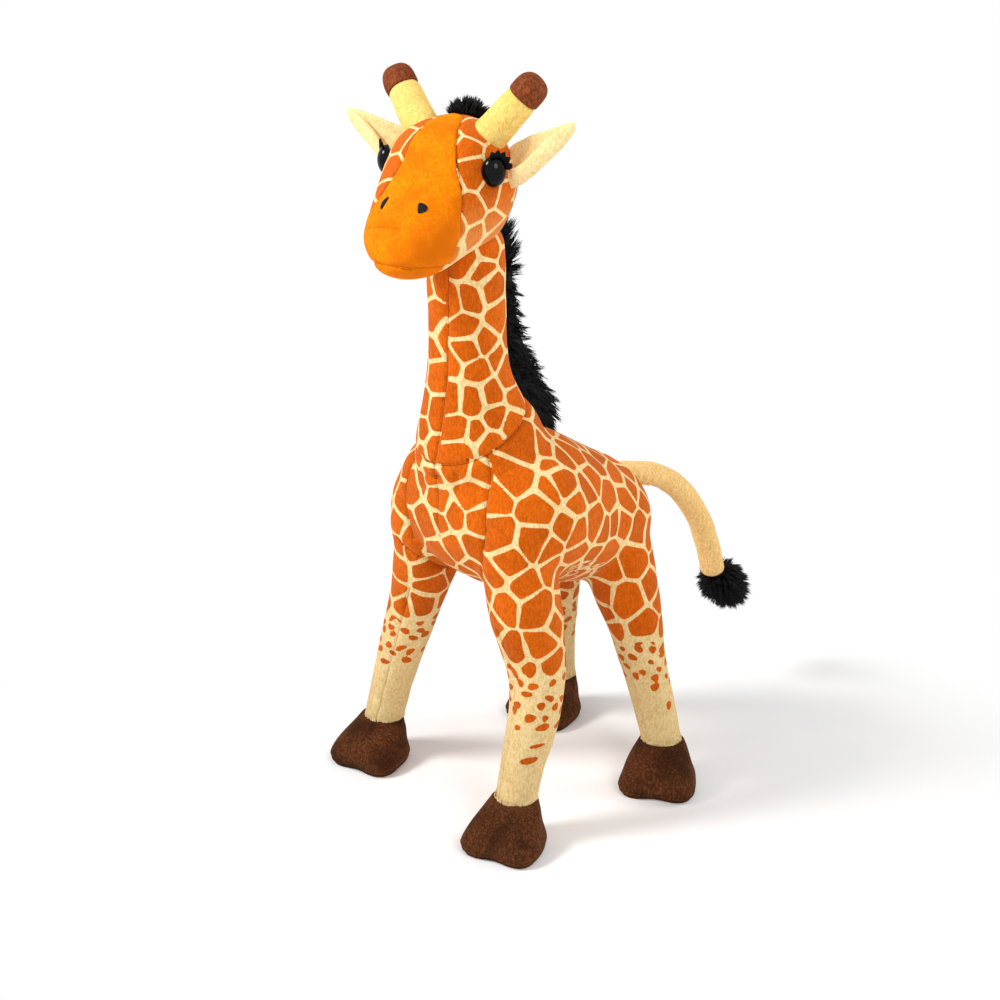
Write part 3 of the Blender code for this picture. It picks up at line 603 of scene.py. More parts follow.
def patches(co, out, panel, spacing, softness, seed):
    """Angular patches that grow from scattered middles until they meet, on each panel by itself.

    Returns how far each vertex lies from the edge of its patch, and which patch that is.
    """
    made = np.random.default_rng(seed)
    middles = np.empty((0, 3))
    kept = []
    for i in made.permutation(len(co))[:12000]:
        room = spacing[i] * made.uniform(0.56, 1.30)
        if not len(kept) or np.min(np.sum((middles - co[i]) ** 2, axis=1)) > room * room:
            kept.append(i)
            middles = co[kept]
    kept = np.array(kept)
    bonus = (made.uniform(0, 0.46, len(kept)) * spacing[kept]) ** 2
    depth, owner = np.empty(len(co)), np.empty(len(co), int)
    for start in range(0, len(co), 20000):
        part = slice(start, start + 20000)
        power = ((co[part, None] - middles[None]) ** 2).sum(2) - bonus[None]
        power[panel[part, None] != panel[kept][None]] = 1
        near = np.argsort(power, axis=1)[:, :9]
        power = np.take_along_axis(power, near, 1)
        way = middles[near[:, 1:]] - middles[near[:, :1]]
        apart = np.linalg.norm(way, axis=2)
        slant = np.einsum("ijk,ik->ij", way, out[part]) / apart
        gap = (power[:, 1:] - power[:, :1]) / (2 * apart) / np.sqrt(np.maximum(0.10, 1 - slant ** 2))
        soft = softness[part, None]
        least = gap.min(axis=1, keepdims=True)
        depth[part] = (least - soft * np.log(np.exp(-(gap - least) / soft).sum(1, keepdims=True)))[:, 0]
        owner[part] = near[:, 0]
    return depth, owner, co[kept]


def printed(obj, depth, owner, seed, fade=0.0):
    """Keeps the print: how deep in a patch each vertex lies, its tone and how washed out it is."""
    shades = np.random.default_rng(seed).uniform(0, 0.7, owner.max() + 1)
    store(obj, "patch_depth", depth)
    store(obj, "patch_tone", shades[owner])
    store(obj, "patch_fade", np.zeros(len(depth)) + fade)


# Body

def torso_skin():
    rows = [
        (0.040, 0.58, 0.60, -0.42), (0.150, 0.92, 0.92, -0.42), (0.310, 1.00, 1.06, -0.32),
        (0.490, 0.86, 0.98, -0.05), (0.670, 0.74, 0.88, 0.28), (0.830, 0.70, 0.80, 0.42),
        (0.955, 0.47, 0.54, 0.46),
    ]
    front, length, middle, drop = -0.10312, 0.143, 0.160, 0.034
    path = [(MIDDLE_X, front, middle - drop * rows[0][3])]
    path += [(MIDDLE_X, front + length * a, middle - drop * fall) for a, _, _, fall in rows]
    path.append((MIDDLE_X, front + length, middle - drop * rows[-1][3]))
    wides = [0.060 * wide for _, wide, _, _ in rows]
    deeps = [0.043 * deep for _, _, deep, _ in rows]
    return ringed("torso_form", path, wides, deeps, 16)


def shoulder(x):
    """Filling that runs from the chest down into the top of a front leg."""
    obj = ball("shoulder_form", 32, 20)
    reach = np.array((0.0205, 0.0205, 0.0370))
    set_points(obj, points(obj) * reach + np.array((x, -0.0765, 0.156)))
    return obj


def neck_spot(share):
    bow = math.sin(min(share / 0.45, 1) * math.pi / 2)
    return Vector((MIDDLE_X, -0.06912 - 0.0099 * bow, 0.199 + 0.119 * share))


def neck_skin():
    ball, round_ = 0.036, 0.0194
    path, wides = [Vector((MIDDLE_X, -0.06912, 0.199 - ball))], []
    for lift in (-0.90, -0.55, 0.0):
        path.append(Vector((MIDDLE_X, -0.06912, 0.199 + ball * lift)))
        wides.append(ball * math.sqrt(1 - lift * lift))
    for along, flare in ((0.10, 0.86), (0.20, 0.54), (0.29, 0.24), (0.42, 0.05), (0.60, 0.0), (0.78, 0.0),
                         (0.90, 0.0), (0.99, -0.1)):
        path.append(neck_spot(along))
        wides.append(round_ + (ball - round_) * flare)
    path.append(neck_spot(1.02))
    return ringed("neck_form", path, wides, wides, 16)


def leg_spot(label, share):
    hip, ankle, knee, _ = HIPS[label]
    bow = math.sin(math.pi * share) ** 2
    return Vector((
        hip[0] + (ankle[0] - hip[0]) * share + knee[0] * bow,
        hip[1] + (ankle[1] - hip[1]) * share + knee[1] * bow,
        hip[2] + (ANKLE_Z - hip[2]) * share,
    ))


def leg_skin(label):
    ball, round_ = 0.0205, 0.0113
    hip = Vector(HIPS[label][0])
    path, wides = [hip + Vector((0, 0, ball))], []
    for lift in (0.80, 0.0):
        path.append(hip + Vector((0, 0, ball * lift)))
        wides.append(ball * math.sqrt(1 - lift * lift))
    for along, wide in THIGHS[label]:
        path.append(leg_spot(label, along))
        wides.append(round_ + (ball - round_) * wide)
    ankle = leg_spot(label, 1)
    path.append(ankle - Vector((0, 0, 0.0062)))
    wides.append(round_ * 0.9)
    path.append(ankle - Vector((0, 0, 0.0085)))
    return ringed(label + "_form", path, wides, wides, 12)


def leg_centre(label, z):
    """The middle of the leg at each height."""
    hip = HIPS[label][0]
    share = np.clip((hip[2] - z) / (hip[2] - ANKLE_Z), 0, 1.1)
    _, ankle, knee, _ = HIPS[label]
    bow = np.sin(math.pi * np.clip(share, 0, 1)) ** 2
    x = hip[0] + (ankle[0] - hip[0]) * share + knee[0] * bow
    y = hip[1] + (ankle[1] - hip[1]) * share + knee[1] * bow
    return x, y


# Each leg's cut from the body: a plane through (middle, y, z) that rises outwards
LEG_CUTS = {"front": (0.1135, 0.35, -0.118, -0.035), "rear": (0.1045, 0.35, -0.020, 0.045)}


def leg_side(label):
    return 1 if label.endswith("left") else -1


def leg_field(label):
    """Positive on the leg's side of its cut."""
    low, slope, _, _ = LEG_CUTS[label.split("_")[0]]
    side = leg_side(label)

    def field(co):
        out = (co[:, 0] - MIDDLE_X) * side
        return (low + slope * out - co[:, 2]) / math.sqrt(1 + slope * slope)
    return field


def leg_part(label):
    _, _, front, back = LEG_CUTS[label.split("_")[0]]
    side = leg_side(label)

    def where(co):
        return ((co[:, 0] - MIDDLE_X) * side > 0) & (co[:, 1] > front) & (co[:, 1] < back)
    return where


def neck_field(co):
    """Positive above the seam that joins the neck to the shoulders."""
    level = NECK_SEAM_Z + (co[:, 1] - NECK_SEAM_Y) * NECK_SEAM_RISE
    return (co[:, 2] - level) / math.sqrt(1 + NECK_SEAM_RISE ** 2)


def neck_part(co):
    return co[:, 2] > NECK_ABOVE_Z


# The chest panel: where it begins, and its seams' heights and places to the left
CHEST_Y, CHEST_Z = -0.072, 0.128
CHEST_SEAM = (
    [0.128, 0.140, 0.154, 0.172, 0.187, 0.2089],
    [0.0235, 0.0275, 0.0316, 0.0357, 0.0344, 0.0312],
)


def body_seams():
    """(signed field, where it runs) for each sewn line that isn't an edge of a piece."""
    front_z = [0.175, 0.195, 0.214, 0.234, 0.25, 0.295, 0.33]
    front_x = [0.0044, 0.0050, 0.0083, 0.0090, 0.0099, 0.0106, 0.0106]
    dart_x, dart_z = [-0.036, -0.0276, -0.018, -0.0125], [0.1475, 0.1435, 0.1375, 0.127]
    found = [
        (lambda co: co[:, 0] - np.interp(co[:, 2], front_z, front_x),
         lambda co: (co[:, 1] < -0.086) & (co[:, 2] > 0.160)),
        (lambda co: co[:, 0] - np.interp(co[:, 2], *CHEST_SEAM),
         lambda co: (co[:, 1] < CHEST_Y) & (co[:, 2] > CHEST_Z) & (neck_field(co) < 0)),
        (lambda co: co[:, 0] - (2 * MIDDLE_X - np.interp(co[:, 2], *CHEST_SEAM)),
         lambda co: (co[:, 1] < CHEST_Y) & (co[:, 2] > 0.150) & (neck_field(co) < 0)),
        (lambda co: co[:, 0] - MIDDLE_X,
         lambda co: (co[:, 1] > -0.045) & (co[:, 2] > 0.150) & (neck_field(co) < 0)),
        (lambda co: co[:, 0] - MIDDLE_X,
         lambda co: (co[:, 1] > -0.085) & (co[:, 2] < 0.138) & (co[:, 1] < 0.03)),
        (lambda co: co[:, 2] - np.interp(co[:, 0], dart_x, dart_z),
         lambda co: (co[:, 1] < -0.066) & (co[:, 0] > dart_x[0]) & (co[:, 0] < dart_x[-1])
         & (co[:, 2] > 0.12)),
    ]
    for label, turn in (("front_left", -16), ("front_right", 26), ("rear_left", 0), ("rear_right", -12)):
        found.append(leg_seam(label, math.radians(turn)))
        found.append(leg_seam(label, math.radians(turn + 180)))
    return found


# Creases, in mm: depth, width and the points that each runs through
CREASES = (
    (1.3, 1.5, ((19, -101, 203), (19.5, -101, 195), (19, -99.5, 184))),
    (1.0, 1.4, ((-8, -101, 193.8), (3, -103, 193), (13, -102.5, 194.2))),
    (0.8, 1.8, ((26, -97, 200), (29, -95, 190), (30, -95, 180))),
    (0.8, 1.8, ((-2, -102, 200), (-8, -101, 188), (-10, -101, 178))),
    (0.7, 2.0, ((8, -103, 200), (8, -104, 190), (6, -104, 181))),
    (1.0, 2.4, ((51.6, -59.7, 193.8), (59.9, -69.1, 177.1), (56, -66, 153.6))),
    (0.9, 2.2, ((48.4, -52, 142), (44, -42, 135), (38, -30, 130))),
    (0.9, 2.4, ((49, -34, 143), (46, -18, 146), (42, -4, 150))),
    (0.8, 2.2, ((-42, -52, 142), (-36, -40, 135), (-30, -28, 130))),
    (0.7, 1.6, ((40, -60, 214), (45, -52, 206), (47, -44, 196))),
    (0.7, 1.6, ((-30, -60, 214), (-36, -52, 206), (-38, -44, 196))),
    (0.6, 1.3, ((52, -92, 60), (56, -88, 57), (58, -84, 52))),
    (0.6, 1.3, ((44, -97, 47), (48, -99, 44), (53, -98, 43))),
    (0.6, 1.3, ((-70, -88, 44), (-65, -90, 41), (-60, -87, 40))),
    (0.6, 1.3, ((60, 4, 44), (64, 9, 42), (66, 15, 43))),
    (0.6, 1.2, ((44, -96, 50), (46, -99, 38), (47, -100, 30))),
    (0.6, 1.2, ((-62, -89, 52), (-67, -90, 40), (-70, -89, 31))),
    (0.6, 1.5, ((22, -88, 262), (24, -84, 258), (24, -78, 256))),
    (0.6, 1.5, ((-10, -92, 246), (-14, -86, 242), (-15, -80, 240))),
)


def crease(skin):
    """Presses the creases in, and returns how far each vertex is from the two deepest narrow creases, whose
    lines get painted shade.
    """
    crease_shade_distance = np.full(len(skin.data.vertices), FAR)
    for depth, width, through in CREASES:
        line = np.array(through) / 1000
        fine = np.stack([np.interp(np.linspace(0, 1, 40), np.linspace(0, 1, len(line)), line[:, k])
                         for k in range(3)], 1)
        co = points(skin)
        near = np.nonzero(np.linalg.norm(co - fine[20], axis=1) < 0.030)[0]
        away = np.linalg.norm(co[near, None] - fine[None], axis=2)
        which = away.argmin(axis=1)
        end = smooth_between(np.minimum(which, 39 - which) / 39, 0, 0.28)
        # The nearest point of a crease may lie a little under or over the cloth
        flat = np.sqrt(np.maximum(0, away.min(axis=1) ** 2 - 0.0015 ** 2))
        co[near] -= normals(skin)[near] * (depth / 1000 * end * np.exp(-(flat * 1000 / width) ** 2))[:, None]
        set_points(skin, co)
        if width < 1.55 and depth >= 1.0:
            crease_shade_distance[near] = np.minimum(crease_shade_distance[near], flat + 0.0002 + 0.004 * (1 - end))
    return crease_shade_distance


def leg_seam(label, turn):
    across = (math.cos(turn), math.sin(turn))
    ahead = (math.sin(turn), -math.cos(turn))
    top = 0.118 if label.startswith("front") else 0.106

    def offset(co):
        x, y = leg_centre(label, co[:, 2])
        return co[:, 0] - x, co[:, 1] - y

    def field(co):
        x, y = offset(co)
        return x * across[0] + y * across[1]

    def where(co):
        x, y = offset(co)
        return ((x * ahead[0] + y * ahead[1] > 0) & (co[:, 2] < top) & (x * x + y * y < 0.026 ** 2))
    return field, where


# Small marks below the spots: leg, turn from the front, height, half width, half height
MARKS = (
    ("front_left", 62, 0.0580, 0.0048, 0.0012), ("front_left", 54, 0.0500, 0.0050, 0.0020),
    ("front_left", -60, 0.0560, 0.0036, 0.0016), ("rear_left", 92, 0.0480, 0.0022, 0.0030),
    ("rear_right", 40, 0.0520, 0.0026, 0.0022), ("front_right", -70, 0.0600, 0.0036, 0.0018),
)


def spots():
    """Rounded spots in uneven rows round each leg, thinning out downwards."""
    made = np.random.default_rng(41)
    found = []
    for label in HIPS:
        top = 0.0905 if label.startswith("front") else 0.0812
        for row in range(5):
            around = (10, 9, 9, 8, 6)[row]
            for k in range(around):
                turn = (k + 0.5 * (row % 2) + made.uniform(-0.24, 0.24)) * 360 / around
                z = top - 0.0056 * row + made.uniform(-0.0016, 0.0016)
                wide, tall = made.uniform(0.0020, 0.0040), made.uniform(0.0015, 0.0026)
                if made.random() > 0.04 + 0.05 * row:
                    found.append((label, turn, z, wide, tall))
    return found


def leg_mark(co, mark):
    label, turn, z, wide, tall = mark
    x, y = leg_centre(label, co[:, 2])
    x, y = co[:, 0] - x, co[:, 1] - y
    turn = np.arctan2(x, -y) - math.radians(turn)
    arc = np.hypot(x, y) * np.arctan2(np.sin(turn), np.cos(turn))
    dash = wide > 2.2 * tall
    tilt = 0.10 if dash else math.sin(z * 9000 + wide * 40000) * 0.5
    rise = co[:, 2] - z
    arc, rise = arc + rise * tilt, rise - arc * tilt
    far = np.sqrt((arc / wide) ** 2 + (rise / tall) ** 2)
    far = far * (1 + (0.02 if dash else 0.08) * np.sin(np.arctan2(rise, arc) * 3 + z * 7000))
    return np.where(np.hypot(x, y) < 0.020, (1 - far) * min(wide, tall), -0.004)


def body_print(co, out, panel):
    """The print on the torso and the legs, whose patches shrink to spots and then end."""
    cloth = bpy.context.scene.giraffe_cloth
    z = co[:, 2]
    front = co[:, 1] < -0.035
    top = np.where(front, 0.106, 0.096)
    small = 1 - smooth_between(z, top - 0.010, top)
    spacing = cloth.patch_size * (1 - 0.20 * small)
    depth, owner, _ = patches(co, out, panel, spacing, 0.00050 + 0.0006 * small, 4)
    uneven = 1.08 + 0.5 * lumps(co, 0.022, 14)
    depth = depth - cloth.line_width / 2 * np.clip(uneven, 0.6, 1.8) - 0.0009 * small
    # Below a wavy line there are only spots
    line = np.where(front, 0.0945, 0.0850) + 0.0016 * np.sin(co[:, 0] * 560 + co[:, 1] * 410)
    soft = 0.0007
    depth = -soft * np.log(np.exp(-depth / soft) + np.exp(-np.clip((z - line) / soft, -30, 30)))
    depth = np.maximum(depth, -0.004)
    for mark in list(MARKS) + spots():
        depth = np.maximum(depth, leg_mark(co, mark))
    return depth, owner


def neck_print(co, out):
    cloth = bpy.context.scene.giraffe_cloth
    panel = (co[:, 0] > 0.0095).astype(int)
    spacing = np.full(len(co), cloth.patch_size * 1.0)
    depth, owner, _ = patches(co, out, panel, spacing, np.full(len(co), 0.00046), 6)
    uneven = 1.05 + 0.5 * lumps(co, 0.022, 16)
    return depth - cloth.line_width / 2 * np.clip(uneven, 0.6, 1.8), owner


class GIRAFFE_OT_body(bpy.types.Operator):
    """Sew the torso, the neck and the four legs from one skin"""

    bl_idname = "giraffe.body"
    bl_label = "Body"

    def execute(self, context):
        forms = [torso_skin(), neck_skin(), shoulder(-0.0305), shoulder(0.0378)]
        forms += [leg_skin(label) for label in HIPS]
        skin = felted(joined("skin", forms), 0.00125, 6)
        blend = skin.vertex_groups.new(name="creases")
        co = points(skin)
        weight = np.zeros(len(co))
        for label in HIPS:
            hip = np.array(HIPS[label][0]) - np.array((0, 0, 0.012))
            weight = np.maximum(weight, 1 - smooth_between(np.linalg.norm(co - hip, axis=1), 0.024, 0.044))
        base = np.array((MIDDLE_X, -0.075, 0.212))
        weight = np.maximum(weight, 1 - smooth_between(np.linalg.norm(co - base, axis=1), 0.042, 0.066))
        for level in np.unique(np.round(weight[weight > 0.02] * 20) / 20):
            chosen = np.nonzero(np.round(weight * 20) / 20 == level)[0]
            blend.add([int(i) for i in chosen], float(level), "REPLACE")
        modify(skin, "SMOOTH", factor=0.6, iterations=40, vertex_group="creases")
        triangles(skin)
        skin.vertex_groups.clear()

        uneven = lumps(points(skin), 0.034, 3) * 0.00045 + lumps(points(skin), 0.015, 5) * 0.00016
        swell(skin, uneven * smooth_between(points(skin)[:, 2], 0.022, 0.045))

        for label in HIPS:
            fit_seam(skin, leg_field(label), leg_part(label))
        lines = [fit_seam(skin, neck_field, neck_part)[1]]
        lines += [fit_seam(skin, field, where)[1] for field, where in body_seams()]
        gap = seam_distance(skin, np.concatenate(lines))
        # The stitches down the legs hardly show
        gap = gap + 0.00022 * (1 - smooth_between(points(skin)[:, 2], 0.085, 0.110))
        calm = 0.35 + 0.65 * smooth_between(points(skin)[:, 2], 0.085, 0.115)
        press(skin, gap, 0.0009 * calm, 0.0013)
        press(skin, gap, 0.0005 * calm, 0.0042)
        # The two narrow creases are darkened like the seams: painted shade
        gap = np.minimum(gap, crease(skin))

        co = points(skin)
        out = normals(skin)
        clothe(skin, gap)
        store(skin, "skin_normal", out)
        chest = np.abs(co[:, 0] - MIDDLE_X) < np.interp(co[:, 2], *CHEST_SEAM) - MIDDLE_X
        chest &= (co[:, 1] < CHEST_Y) & (co[:, 2] > CHEST_Z)
        printed(skin, *body_print(co, out, chest.astype(int)), 2)

        pieces = {}
        for label in HIPS:
            co = points(skin)
            chosen = leg_part(label)(co) & (leg_field(label)(co) > -ON_SEAM)
            pieces[label] = split_off(skin, chosen, "cloth_leg_" + label)
        co = points(skin)
        neck = split_off(skin, (neck_field(co) > -ON_SEAM) & neck_part(co), "cloth_neck")
        printed(neck, *neck_print(points(neck), stored(neck, "skin_normal", True)), 3)
        pieces["neck"] = neck
        skin.name = "cloth_torso"
        for label, piece in list(pieces.items()) + [("torso", skin)]:
            keep_normals(piece)
            finished(piece, material("print"))
        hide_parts("torso")
        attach(skin, "torso")
        for label in HIPS:
            piece = pieces[label]
            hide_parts("leg_" + label)
            low, slope, _, _ = LEG_CUTS[label.split("_")[0]]
            down = Vector((slope * leg_side(label), 0, -1)).normalized()
            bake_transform(piece)
        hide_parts("neck")
        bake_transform(pieces["neck"])
        return {"FINISHED"}


# Head

HEAD_FROM = Matrix.Translation(NECK_LINE) @ Matrix.Rotation(HEAD_TURN, 4, "Z")


def head_axes(co):
    """(to the giraffe's left, forward, height) in the head's own frame."""
    inverse = np.array(HEAD_FROM.inverted())
    local = co @ inverse[:3, :3].T + inverse[:3, 3]
    return local[:, 0], -local[:, 1], local[:, 2]


# Where the golden cloth ends, in mm: (to the giraffe's left of the middle, forward)
BLAZE = (
    (-40, 56.0), (-22, 53.5), (-16.0, 51.0), (-13.8, 49.5), (-11.2, 47.0), (-8.4, 44.5), (-6.6, 40.5),
    (-6.0, 36.0), (-6.0, 24.0), (-4.8, 14.0), (-3.0, 9.5), (0.5, 8.0), (4.5, 9.5), (7.2, 12.5), (9.3, 17.6),
    (13.2, 27.0), (16.5, 32.3), (20.1, 36.5), (23.0, 38.2), (25.0, 40.2), (26.0, 43.0), (40, 47.0),
)


def blaze_field(co):
    """Positive on the golden cloth: the blaze over the forehead and the muzzle."""
    side, ahead, high = head_axes(co)
    back = np.interp(side * 1000, *zip(*BLAZE)) / 1000
    middle = np.interp(ahead, [0.02, 0.045], [0.336, 0.324])
    under = smooth_between(high, middle, middle - 0.006)
    back = back + (np.where(side > 0, 0.0460, 0.0485) - back) * under
    return ahead - back


def mouth_field(co):
    side, ahead, high = head_axes(co)
    return np.interp(ahead, [0.040, 0.060, 0.075], [0.3085, 0.3095, 0.3110]) - high


def head_skin():
    rows = [
        (0.040, 0.50, 0.50, -0.13), (0.135, 0.84, 0.82, -0.10), (0.270, 1.00, 0.97, -0.09),
        (0.393, 1.03, 1.02, 0.00), (0.506, 0.99, 0.87, 0.34), (0.630, 0.87, 0.71, 0.68),
        (0.775, 0.80, 0.57, 0.95), (0.888, 0.70, 0.46, 1.05), (0.966, 0.45, 0.29, 1.09),
    ]
    back, length, middle, drop = 0.019, 0.089, 0.340, 0.022
    path = [Vector((0, back, middle - drop * rows[0][3]))]
    path += [Vector((0, back - length * a, middle - drop * fall)) for a, _, _, fall in rows]
    path.append(Vector((0, back - length, middle - drop * (rows[-1][3] - 0.07))))
    wides = [0.0315 * wide for _, wide, _, _ in rows]
    deeps = [0.0335 * deep for _, _, deep, _ in rows]
    obj = ringed("head_form", path, wides, deeps, 16)
    obj.data.transform(HEAD_FROM)
    return obj


def eye_place(side):
    """(middle, outward direction) of an eye."""
    facing = math.radians(53)
    spot = HEAD_FROM @ Vector((side * 0.0314, -0.0229, 0.3502))
    out = HEAD_FROM.to_3x3() @ Vector((side * math.sin(facing), -math.cos(facing), 0))
    return spot, out


class GIRAFFE_OT_head(bpy.types.Operator):
    """Sew the head from its printed cloth, the golden panel and the chin"""

    bl_idname = "giraffe.head"
    bl_label = "Head"

    def execute(self, context):
        skin = felted(head_skin(), 0.00095, 4)
        triangles(skin)
        co = points(skin)
        out = normals(skin)
        side, ahead, high = head_axes(co)
        # Cheeks, hollows round the eyes and brows
        for sign in (-1, 1):
            cheek = np.exp(-(((side - sign * 0.019) / 0.011) ** 2 + ((ahead - 0.053) / 0.013) ** 2
                             + ((high - 0.319) / 0.010) ** 2))
            co = co + out * (0.0013 * cheek)[:, None]
            spot, _ = eye_place(sign)
            away = np.linalg.norm(co - np.array(spot), axis=1)
            co = co - out * (0.0012 * np.exp(-((away - 0.004) / 0.006) ** 2))[:, None]
            brow = np.exp(-(((side - sign * 0.024) / 0.009) ** 2 + ((ahead - 0.024) / 0.010) ** 2
                            + ((high - 0.3625) / 0.005) ** 2))
            co = co + out * (0.0009 * brow)[:, None]
        # The muzzle's front is rounded off
        tip = smooth_between(ahead, 0.045, 0.070)
        axis = np.array(HEAD_FROM.to_3x3() @ Vector((0, -1, 0)))
        wide = np.array(HEAD_FROM.to_3x3() @ Vector((1, 0, 0)))
        co = co - axis * (0.0020 * tip)[:, None] - wide * (side * 0.07 * tip)[:, None]
        corner = smooth_between(-side, 0.004, 0.020) * smooth_between(ahead, 0.036, 0.052)
        corner *= 1 - smooth_between(high, 0.322, 0.336)
        co = co + (wide * 0.0024 - axis * 0.0010) * corner[:, None]
        co = co + out * (lumps(co, 0.026, 11) * 0.0003)[:, None]
        set_points(skin, co)

        everywhere = lambda p: np.ones(len(p), bool)
        _, panel = fit_seam(skin, blaze_field, everywhere)
        _, mouth = fit_seam(skin, mouth_field, lambda p: blaze_field(p) > -ON_SEAM)
        fold_field = lambda p: head_axes(p)[2] - (0.3262 + 0.0012 * np.cos(head_axes(p)[0] * 180))
        _, fold = fit_seam(skin, fold_field, lambda p: (blaze_field(p) > 0.010) & (head_axes(p)[0] < 0.006))
        spine_field = lambda p: head_axes(p)[0]
        _, spine = fit_seam(skin, spine_field, lambda p: (blaze_field(p) < 0) & (head_axes(p)[1] < 0.044))
        gap = seam_distance(skin, np.concatenate([panel, mouth, spine]))
        press(skin, gap, 0.0007, 0.0012)
        press(skin, seam_distance(skin, mouth), 0.0004, 0.0020)
        crease_line = seam_distance(skin, fold)
        press(skin, crease_line, 0.0008, 0.0018)
        # Painted shade: the fold is darkened along its line, as the seams are
        gap = np.minimum(gap, crease_line + 0.00026)
        golden = blaze_field(points(skin)) > 0.0006
        lift = smooth_between(blaze_field(points(skin)), 0.0004, 0.0022) * golden
        swell(skin, 0.0004 * lift)

        clothe(skin, gap)
        co, out = points(skin), normals(skin)
        store(skin, "skin_normal", out)
        cloth = context.scene.giraffe_cloth
        panel = (head_axes(co)[0] > 0).astype(int) * (head_axes(co)[1] < 0.008)
        depth, owner, _ = patches(co, out, panel, np.full(len(co), cloth.patch_size * 1.02),
                                  np.full(len(co), 0.00032), 12)
        jaw = 1 - smooth_between(head_axes(co)[2], 0.3120, 0.3260)
        under = 1 - smooth_between(head_axes(co)[2], 0.3180, 0.3440)
        printed(skin, depth - cloth.line_width * 0.40 - 0.0024 * jaw, owner, 13, 0.62 * under)
        # Painted shade: the muzzle's left cheek is darkened towards its lower part
        side = smooth_between(head_axes(co)[0], 0.004, 0.020)
        store(skin, "muzzle_painted_shade", side * (1 - smooth_between(head_axes(co)[2], 0.3260, 0.3470)))
        co = points(skin)
        face = split_off(skin, blaze_field(co) > -ON_SEAM, "cloth_face")
        chin = split_off(face, mouth_field(points(face)) > -ON_SEAM, "cloth_chin")
        skin.name = "cloth_head"
        for piece, finish, slot, node in ((skin, "print", "printed_plush", "head"),
                                          (face, "gold", "golden_plush", "face_panel"),
                                          (chin, "gold", "golden_plush", "chin")):
            keep_normals(piece)
            finished(piece, material(finish))
            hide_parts(node)
            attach(piece, "head")
        return {"FINISHED"}


# Face

def turned(obj, out, up, spot):
    """Places the piece's mesh, with its own Z axis along out and its Y axis towards up."""
    out = Vector(out).normalized()
    up = Vector(up)
    up = (up - out * up.dot(out)).normalized()
    across = up.cross(out)
    turn = Matrix((across, up, out)).transposed().to_4x4()
    obj.data.transform(Matrix.Translation(spot) @ turn)
    return obj


# Half the width, height and depth of an eye, and the shank behind it
EYE_REACH = (0.0060, 0.0074, 0.0052)
SHANK_RADIUS, SHANK_LENGTH = 0.0021, 0.0125


class GIRAFFE_OT_eyes(bpy.types.Operator):
    """Set the two domed eyes on their shanks and the felt lashes over them"""

    bl_idname = "giraffe.eyes"
    bl_label = "Eyes"

    def execute(self, context):
        for label, side in (("left", 1), ("right", -1)):
            spot, out = eye_place(side)
            eye = ball("eye_dome_" + label, 48, 28)
            co = points(eye) * np.array(EYE_REACH)
            # The back of the eye is flatter than its dome
            co[:, 2] *= np.where(co[:, 2] < 0, 0.35, 1.0)
            set_points(eye, co)
            deselect()
            bpy.ops.mesh.primitive_cylinder_add(vertices=24, radius=SHANK_RADIUS, depth=SHANK_LENGTH,
                                                location=(0, 0, -SHANK_LENGTH / 2))
            shank = bpy.context.object
            eye = joined("eye_dome_" + label, [eye, shank])
            turned(eye, out, (0, 0, 1), spot - out * 0.0012)
            eye.data.shade_smooth()
            only(eye)
            bpy.ops.object.shade_smooth_by_angle(angle=math.radians(40))
            finished(eye, material("eye"))
            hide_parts("eye_" + label)
            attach(eye, "head")
            self.lash(label, side, spot, out)
        return {"FINISHED"}

    def lash(self, label, side, spot, out):
        """A strip of felt with a toothed rim, over the outer half of the eye."""
        lobes, steps = 5, 8
        obj = sheet("eyelash_felt_" + label, lobes * steps, 2)
        co = points(obj)
        share, row = (co[:, 0] + 1) / 2, (co[:, 1] + 1) / 2
        angle = np.radians(118 - 112 * share)
        tooth = 0.34 + 0.66 * (1 - np.abs((share * lobes) % 1 * 2 - 1)) ** 0.85
        reach = 0.0034 * tooth * (0.75 + 0.25 * np.sin(math.pi * share)) * row
        made = np.stack([side * np.cos(angle) * (0.0054 + reach), np.sin(angle) * (0.0069 + reach),
                         0.0010 + 0.0016 * row], 1)
        set_points(obj, made)
        modify(obj, "SOLIDIFY", thickness=0.0010, offset=0)
        modify(obj, "BEVEL", width=0.0002, segments=2)
        outward(obj)
        turned(obj, out, (0, 0, 1), spot)
        bpy.ops.object.shade_smooth_by_angle(angle=math.radians(40))
        finished(obj, material("lash"))
        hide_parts("eyelash_" + label)
        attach(obj, "head")


class GIRAFFE_OT_nostrils(bpy.types.Operator):
    """Stitch the two nostrils in black thread"""

    bl_idname = "giraffe.nostrils"
    bl_label = "Nostrils"

    def execute(self, context):
        face = bpy.data.objects["cloth_face"]
        for label, side in (("left", 1), ("right", -1)):
            origin = HEAD_FROM @ Vector((side * 0.0100 + 0.0017, -0.100, 0.366))
            aim = (HEAD_FROM @ Vector((side * 0.0100 + 0.0017, -0.0552, 0.3365))) - origin
            hit, spot, out, _ = face.ray_cast(origin, aim.normalized())
            if not hit:
                raise RuntimeError("the nostril doesn't meet the muzzle")
            obj = ball("nostril_" + label, 28, 14)
            co = points(obj)
            # A half moon: rounded outside and straight towards the middle of the muzzle
            x = np.where(co[:, 0] * side > 0, co[:, 0], co[:, 0] * 0.45)
            bend = co[:, 1] ** 2 * 0.0006 * side
            wide, tall = (0.0032, 0.0029) if side > 0 else (0.0018, 0.0036)
            made = np.stack([x * wide - bend, co[:, 1] * tall, co[:, 2] * 0.0008], 1)
            set_points(obj, made)
            turned(obj, out, (0, 0, 1), spot + out * 0.0001)
            obj.data.shade_smooth()
            finished(obj, material("thread"))
            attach(obj, "head")
        return {"FINISHED"}


# Horns and ears

